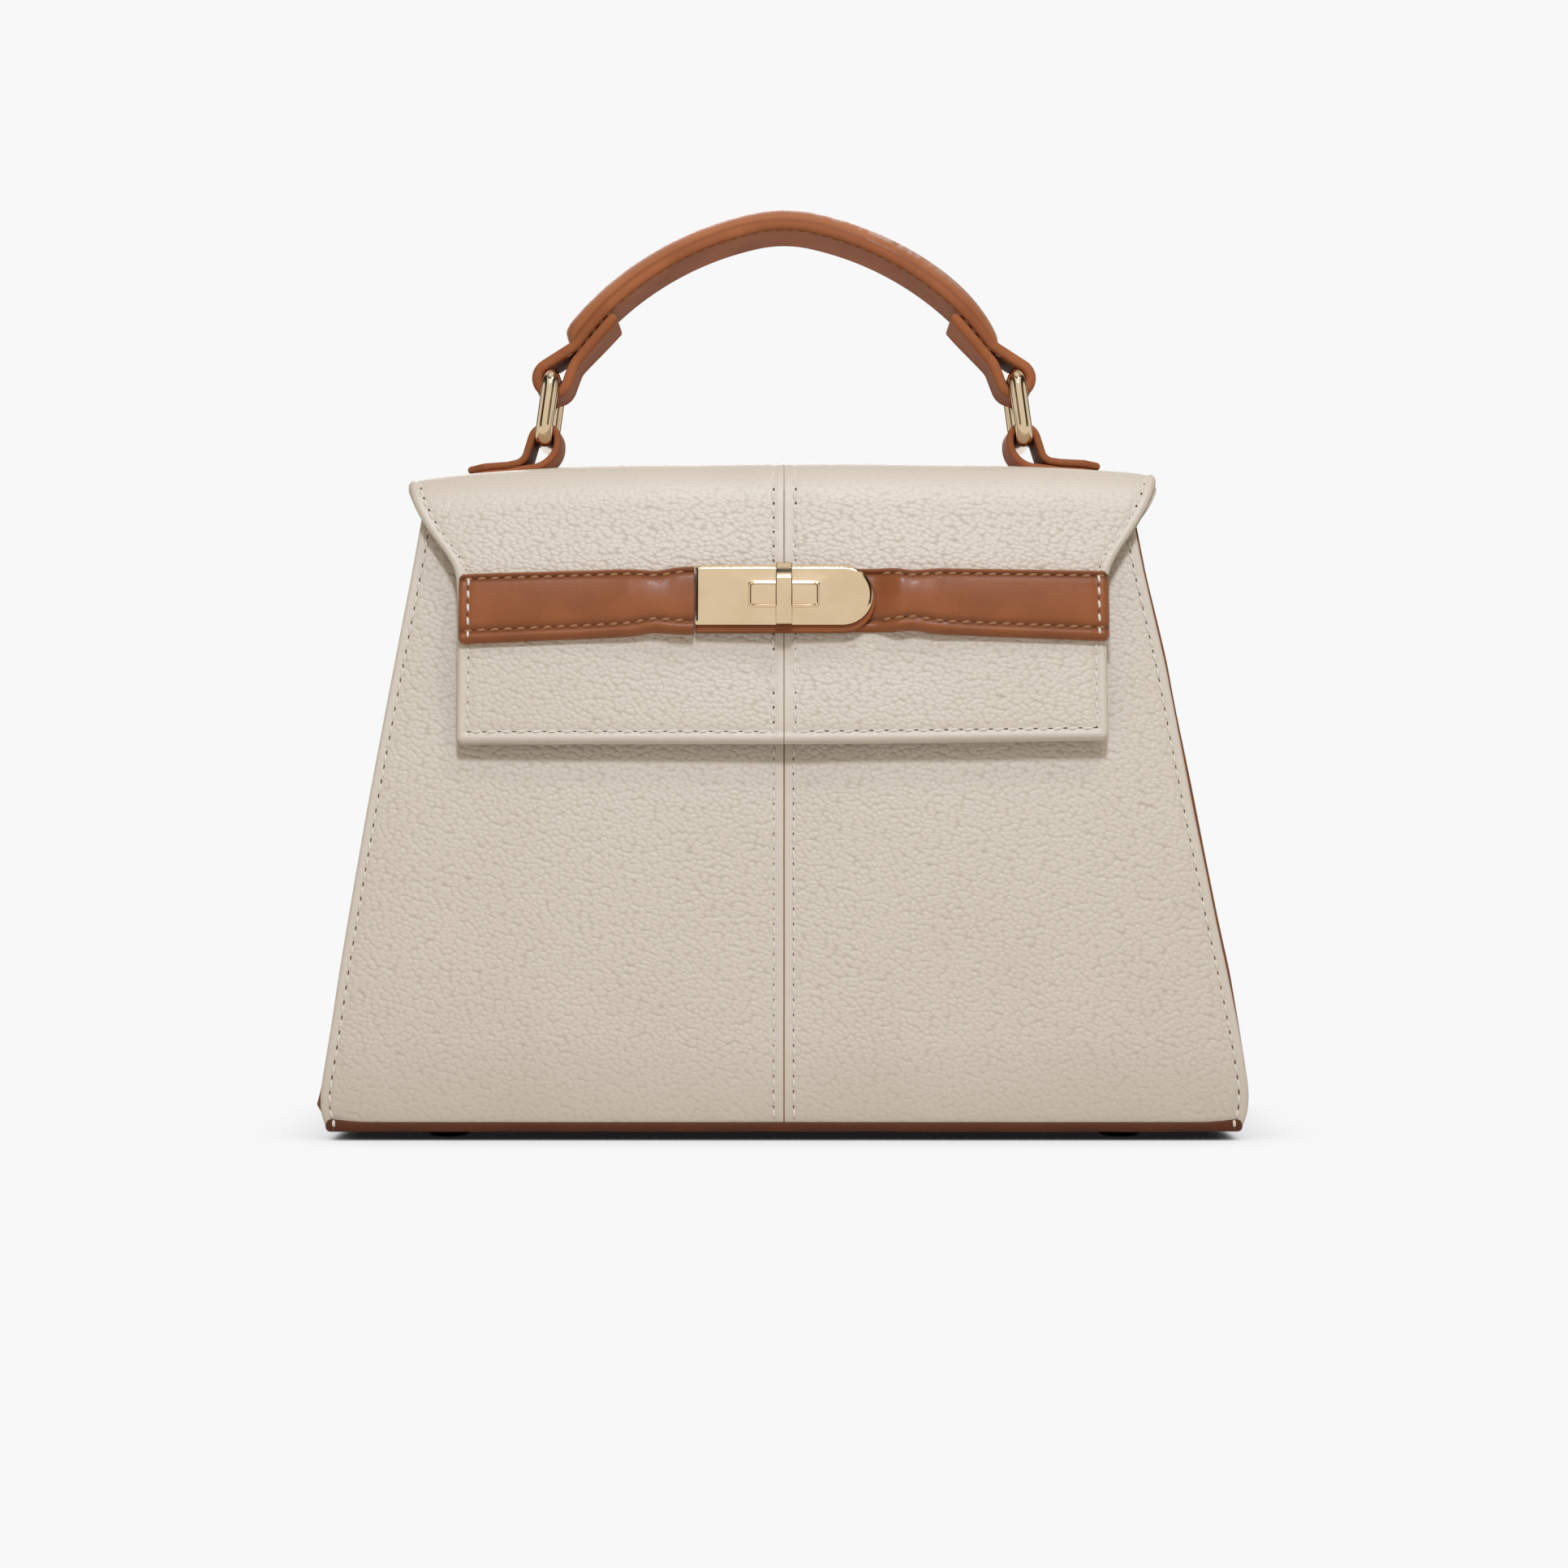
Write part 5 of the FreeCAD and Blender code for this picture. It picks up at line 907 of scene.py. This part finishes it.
def slot_reach(aim, outset):
    """Distance from the lock's middle to the slot's outline, which has small round corners."""
    run, rise = abs(math.cos(aim)) / (slot_long + outset), abs(math.sin(aim)) / (slot_high + outset)
    return (run ** slot_square + rise ** slot_square) ** (-1 / slot_square)


def on_lock(along, up, out):
    """Points on the lock, from its middle: along the belt, up the plate and out of it."""
    return lock_spot + along[..., None] * lock_along + up[..., None] * lock_up + out * lock_out


rings = []
for reach_at, edge in ((plate_reach, plate_edge), (slot_reach, slot_edge)):
    for inset, out in edge:
        reach = np.array([reach_at(aim, inset) for aim in aims])
        rings.append(on_lock(reach * np.cos(aims), reach * np.sin(aims), out))
plate = make_piece("lock_plate_gold", np.array(rings), ring_faces(len(rings), len(aims), closed=True),
                   [pale_gold], sharp_deg=24)
fasten(plate, "flap", "gold", "lock_plate")

along = np.concatenate([spread(-bar_half_long, -bar_flat, bar_close, 14),
                        spread(-bar_flat, bar_flat, (0.05, 0.3), 16),
                        spread(bar_flat, bar_half_long, bar_close, 14)])
high, wide = np.meshgrid(along, spread(-bar_half_wide, bar_half_wide, bar_close, 12), indexing="ij")
taper = 1 - bar_taper * np.abs(high) / bar_half_long
wide = wide * taper
slope = share_of(np.abs(high), bar_flat, bar_half_long)
face = bar_face + bar_crown * (1 - (high / bar_flat) ** 2) * (slope == 0)
face = face - (bar_face - bar_tip) * (bar_straight * slope + (1 - bar_straight) * slope ** 2)
rim = np.minimum(bar_half_wide * taper - np.abs(wide), bar_half_long - np.abs(high))
bar = cut_piece("lock_turn_bar", on_lock(wide, high, 0), lock_out, face + turned_edge(rim, bar_edge),
                bar_seat, grid_of(wide, high), pale_gold, sharp_deg=14)
fasten(bar, "toggle", "gold", "lock_toggle")
dress(pale_gold, "lock_base", "toggle_post", "plate_screws")
dress(zinc_steel, "lock_back_plate")

# Handle tabs: brown straps folded round the rings' lower bars, both layers sewn flat on the flap's top.
# Their outer ends are cut to a blunt point, the upper layer a little shorter.
handle_mid = -3.0
ring_x, ring_z = 65.6, 187.8
tab_thick, tab_wide, tab_end, tab_point, tab_blunt, tab_step = 1.9, 9.0, 88.5, 6.3, 0.72, 1.6
tab_wrap, tab_root, tab_heel, layer_gap = 3.65, 6.5, 1.6, 0.15
tab_slant = math.radians(18)
bend_from, bend_run, tab_seam_from, tab_seam_end, tab_seam_sink = 2, 12, 6, 4, 0.35
tab_swell, tab_rows, tab_seam = 0.1, (("front", 6), ("rear", -7)), {"pitch": 3.3, "fill": 0.76}
swell_in, swell_wide, strap_uneven, strap_wave, strap_round = 1.0, 0.9, 0.06, 6, 0.46
groove_dark, groove_in, groove_wide = 0.75, 0.9, 0.35
strap_finish = brown_leather("brown_strap", 0.006, 0.02, 0.3, 0.64, 0.06, (0.19, 0.062, 0.026, 1),
                             (0.39, 0.132, 0.052, 1))


def strap_piece(name, line, half_at, thick, swell, body, drop=None, count=150):
    """A folded strap along corners (x, z, radius), with round turned edges that swell on its outer face.
    Gives the lengths along it, its grid, the directions out of it and its two heights, for the seams."""
    along, places, left = route(line, edge_close[:5], count)
    half = half_at(places)
    wide = spread(-half, half, edge_close, 14)
    grid = grid_of(places[:, :1], handle_mid + wide, places[:, 1:])
    if drop is not None:
        grid[..., 2] -= drop(grid)
    outward = grid_of(left[:, 0], 0, left[:, 1])[:, None]
    rim = np.minimum(half[:, None] - np.abs(wide), np.minimum(along, along[-1] - along)[:, None])
    under = thick / 2 + turned_edge(rim, thick * strap_round)
    over = under + swell * hump(rim, swell_in, swell_wide)
    # Painted shade: the back face is coloured darker in a line just inside its edges.
    dark = np.stack([0 * rim, groove_dark * hump(rim, groove_in, groove_wide)])
    piece = cut_piece(name, grid, outward, over + strap_uneven * uneven(grid, strap_wave, 2.9), -under,
                      grid_of(along[:, None], wide), strap_finish, {"painted_shade": dark})
    fasten(piece, body, "brown_leather", name.replace("_leather", ""))
    return along, grid, outward, over, under


def tab_half_at(places):
    """Half width of a tab, which runs to a blunt point at its outer end."""
    return tab_wide * (1 - tab_blunt * share_of(np.abs(places[:, 0]), tab_end - tab_point, tab_end))


def tab_drop(spots, side):
    """How far the tab bends down with the flap's wing, past its ring."""
    past = np.clip((np.abs(spots[..., 0]) - ring_x + bend_from) / bend_run, 0, 1)
    return fall(spots[..., 0], side) * past


tab_low = flap_top + tab_thick / 2
tab_high = tab_low + tab_thick + layer_gap
step = (math.pi - tab_slant) / 2
bow = tab_wrap / math.cos(step / 2)
heel = ring_x + tab_wrap * math.cos(tab_slant)
heel = heel + (ring_z + tab_wrap * math.sin(tab_slant) - tab_high) * math.tan(tab_slant)
tab_line = [(tab_end, tab_low, 0), (ring_x - tab_wrap, tab_low, tab_root)]
tab_line += [(ring_x + bow * math.cos(turn), ring_z + bow * math.sin(turn), tab_wrap)
             for turn in (math.pi - step / 2, tab_slant + step / 2)]
tab_line += [(heel, tab_high, tab_thick * tab_heel), (tab_end - tab_step, tab_high, 0)]
for word, side in halves:
    line = [(side * x, z, bend) for x, z, bend in tab_line]
    along, grid, outward, over, under = strap_piece(f"{word}_handle_tab_leather", line, tab_half_at,
                                                    tab_thick, tab_swell, "flap",
                                                    lambda spots: tab_drop(spots, side))
    seat = over - tab_seam_sink if side > 0 else tab_seam_sink - under
    flat = (along > along[-1] / 2) & (along < along[-1] - tab_seam_end)
    flat = flat & (np.abs(grid[:, 0, 0]) > ring_x + tab_seam_from)
    for place, column in tab_rows:
        line = (grid + outward * seat[..., None])[flat, column]
        seam = sew(f"{word}_handle_tab_{place}_stitches", line, (0, 0, 1), tan_thread, **tab_seam)
        fasten(seam, "flap", "brown_leather")

# Rings: pale gold wire bent to a rounded rectangle and closed by brazing.
# They stand across the bag, their lower bars in the tabs and their upper bars in the handle's loops.
dress(pale_gold, "left_ring", "right_ring")

# Handle strap: two layers of brown leather with turned edges, over the arch, round the rings and back under
# it. It narrows into the rings, and its ends are sewn on the underside of the arch.
strap_thick, strap_half, strap_slim, strap_swell = 2.7, 12.0, 9.0, 0.25
taper_start, taper_end, strap_seam_end = 47.0, 58.0, 44
strap_rows = (("front", 4, 0.1, -0.7), ("rear", -6, 0.42, 0))
strap_seam = {"pitch": 3.2, "radius": 0.28, "fill": 0.76}
strap_peak = (0, 246.345, 34.866)
strap_run = [(36.933, 238.369, 84.349), (56.697, 213.387, 9.56), (67.988, 206.15, 4.05),
             (66.442, 200.422, 4.05), (60.514, 200.168, 4.05), (57.507, 208.429, 7), (46.005, 221.09, 0)]
strap_line = [(-x, z, bend) for x, z, bend in reversed(strap_run)] + [strap_peak] + strap_run


def strap_half_at(places):
    """Half width of the strap, which narrows towards the rings."""
    share = share_of(np.abs(places[:, 0]), taper_start, taper_end)
    return strap_half + (strap_slim - strap_half) * eased(share)


along, grid, outward, over, under = strap_piece("handle_strap_leather", strap_line, strap_half_at,
                                                strap_thick, strap_swell, "handle", count=330)
brown_thread = thread("brown_thread", (0.34, 0.15, 0.062, 1), (0.17, 0.066, 0.025, 1))
from_peak, strap_reach = np.abs(along - along[-1] / 2), along[-1] / 2
keep = from_peak < strap_reach - strap_seam_end
for place, column, sink, facing in strap_rows:
    line = (grid - outward * (under - sink)[..., None])[keep, column]
    seam = sew(f"handle_strap_{place}_stitches", line, (0, facing, 0) - outward[keep, 0], brown_thread,
               **strap_seam)
    fasten(seam, "handle", "brown_leather")

# Padded cover: brown leather domed over a cord and sewn along the strap's top, fuller on the arch's flanks.
# It creases across where it bends, and hands have polished it on the right, towards the front.
cover_half, cover_in, cover_reach, cover_end, cover_sunk = 10.4, 1.6, 58.2, 30, 0.3
dome_top, dome_side, dome_full, flank_at, flank_long = 4.8, 5.0, 0.62, 44, 20
end_run, end_tall, end_wide = {-1: 6, 1: 26}, 0.12, 0.82
crease_deep, crease_size, crease_stretch, cut_stretch = 0.05, 3.2, 0.12, 1.3
rim_dark, rim_dark_wide = 0.95, 0.045
polish_at, polish_long, polish_share, polish_wide = 28, 18, -0.72, 0.2
cover_close = (0, 0.2, 0.5, 0.9, 1.5, 2.3, 3.4, 5)
# Its browns are lighter than the strap's: painted sheen on the domed cover.
cover_finish = brown_leather("brown_grip", 0.0022, 0.022, 0.15, 0.46, 0.18, (0.22, 0.07, 0.026, 1),
                             (0.46, 0.165, 0.065, 1))
keep = (np.abs(grid[:, 0, 0]) < cover_reach) & (from_peak < strap_reach - cover_end)
length = along[keep] - along[keep].mean()
reach = np.abs(length).max()
stops = spread(-reach, reach, cover_close, 150)
spine = read_at(stops, length, grid.mean(axis=1)[keep])
lift = read_at(stops, length, outward[keep, 0])
stops = stops[:, None]
shares = np.sin(np.linspace(-math.pi / 2, math.pi / 2, 37))
end_share = share_of(reach - np.abs(stops), 0, np.where(stops > 0, end_run[1], end_run[-1]))
end_ease = np.sqrt(1 - (1 - end_share) ** 2)
half = np.minimum(cover_half, strap_half_at(spine[:, ::2]) - cover_in)[:, None]
half = half * (end_wide + (1 - end_wide) * end_ease)
flank = hump(np.abs(spine[:, :1]), flank_at, flank_long)
tall = (dome_top + (dome_side - dome_top) * flank) * (end_tall + (1 - end_tall) * end_ease)
grid = spine[:, None] + grid_of(0, half * shares, 0)
crease = crease_deep * uneven(grid_of(stops, crease_stretch * half * shares, 0), crease_size, 6.6)
seat = strap_thick / 2
face = seat + tall * (1 - shares ** 2) ** dome_full + crease * (1 - shares ** 2) * end_ease
polish = hump(stops, polish_at, polish_long) * hump(shares, polish_share, polish_wide)
# Painted shade: coloured darker along both rims, where the cover meets the strap.
cover = cut_piece("handle_cover_leather", grid, lift[:, None], face, seat - cover_sunk,
                  grid_of(stops, half * shares * cut_stretch), cover_finish,
                  {"painted_shade": rim_dark * hump(np.abs(shares), 1, rim_dark_wide), "polished": polish})
fasten(cover, "handle", "brown_leather", "handle_cover")


# Cord: twisted cotton that fills the middle of the cover.
# It is laid on the strap before the cover is sewn down, and sealed in.
def cotton():
    made, place = new_finish("cotton_cord", cut=False)
    twist = place.node("TexWave", {"bands_direction": "DIAGONAL"},
                       {"Vector": place, "Scale": 300, "Distortion": 1})
    bump = place.node("Bump", None, {"Strength": 0.5, "Distance": 0.0004, "Height": twist})
    # The colour darkens between the strands along the twist: painted shade.
    close_finish(place, Base_Color=twist.mix((0.5, 0.45, 0.36, 1), (0.75, 0.7, 0.6, 1)), Roughness=0.9,
                 Normal=bump)
    return made


dress(cotton(), "handle_core")

# Studio: a pale floor to the horizon with a close contact shadow, a soft lamp above the camera, and weaker
# ones high on the right and behind. Dark flags at the sides and above show in the metal.
# The paper is as pale as the background, and the air is warm.
paper = (0.939, 0.939, 0.939, 1)
floor_half = 40


def seen_rays(start):
    """Where the camera, or a mirror or glass in its view, sees a surface; and where a mirror does."""
    camera, mirror, glass = (start.node("LightPath", output=number) for number in (0, 3, 6))
    rays = camera + mirror + glass
    return rays.sum("MINIMUM", rays, 1), mirror


floor_corners = np.array([(-1, -1, 0), (1, -1, 0), (1, 1, 0), (-1, 1, 0)]) * floor_half
mesh = bpy.data.meshes.new("studio_floor")
mesh.from_pydata(floor_corners.tolist(), [], [(0, 1, 2, 3)])
studio_floor = bpy.data.objects.new("studio_floor", mesh)
bpy.context.scene.collection.objects.link(studio_floor)
made = bpy.data.materials.new("studio_paper")
start = empty_nodes(made)
# Painted shadow: ambient occlusion darkens the paper's glow to near black close under and beside the bag.
closed = start.node("AmbientOcclusion", {"samples": 8, "only_local": False}, {"Distance": 0.03}, 1)
near = closed.ramp(0.12, 0.5) * (0.76 + closed.ramp(0.4, 0.97) * 0.24)
glow = start.node("Emission", None, {"Color": near.mix((0.012, 0.011, 0.012, 1), paper), "Strength": 1})
matt = start.node("BsdfDiffuse", None, {"Color": (0.78, 0.78, 0.78, 1)})
seen, _ = seen_rays(start)
start.node("OutputMaterial", None, {"Surface": start.node("MixShader", None, {0: seen, 1: matt, 2: glow})})
mesh.materials.append(made)
studio_floor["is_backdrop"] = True

world = bpy.data.worlds.new("studio")
bpy.context.scene.world = world
start = empty_nodes(world)
seen, mirror = seen_rays(start)
way = start.node("TexCoord")
across, above = (start.node("SeparateXYZ", None, {"Vector": way}, axis) for axis in (0, 2))
aside = across.sum("ABSOLUTE", across, 0)
flag = aside.ramp(0.52, 0.6) - aside.ramp(0.84, 0.92)
flag = flag.sum("MAXIMUM", flag, above.ramp(0.82, 0.86) - above.ramp(0.9, 0.94)) * mirror
air = start.node("Background", None, {"Color": (1, 0.82, 0.52, 1), "Strength": 0.37})
wall = start.node("Background", None, {"Color": paper, "Strength": 1})
dark = start.node("Background", None, {"Color": (0.04, 0.035, 0.03, 1), "Strength": 1})
shown = start.node("MixShader", None, {0: flag, 1: wall, 2: dark})
start.node("OutputWorld", None, {"Surface": start.node("MixShader", None, {0: seen, 1: air, 2: shown})})


def soft_lamp(name, place, aim, size, power, colour):
    lamp = bpy.data.lights.new(name, "AREA")
    lamp.shape = "DISK"
    lamp.size = size
    lamp.energy = power
    lamp.color = colour
    held = bpy.data.objects.new(name, lamp)
    bpy.context.scene.collection.objects.link(held)
    held.location = place
    x, y, z = np.array(aim) - np.array(place)
    held.rotation_euler = (math.atan2(math.hypot(x, y), -z), 0, math.atan2(y, x) - math.pi / 2)


soft_lamp("key_lamp", (0.02, -0.75, 0.79), (0, -0.03, 0.12), 0.15, 4.95, (0.95, 1.04, 1.21))
soft_lamp("side_lamp", (0.32, -0.45, 1.05), (0, 0, 0.15), 0.16, 1.4, (0.97, 1, 1.05))
soft_lamp("rear_lamp", (-0.1, 0.95, 0.6), (0, 0.03, 0.1), 0.5, 2.4, (0.95, 1, 1.06))

# Camera: level, 0.8 m in front of the bag's middle, as the photograph was taken.
# The shift sets the bag as high in the frame as it is there.
camera_far, camera_high = 0.8, 0.0858
view = bpy.data.cameras.new("photo_view")
view.sensor_width = 36
view.lens = 66.2
view.shift_y = 0.0176
camera = bpy.data.objects.new("photo_view", view)
bpy.context.scene.collection.objects.link(camera)
camera.location = (0, -camera_far, camera_high)
camera.rotation_euler = (math.pi / 2, 0, 0)
bpy.context.scene.camera = camera
bpy.context.scene.view_settings.view_transform = "Standard"

low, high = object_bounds()
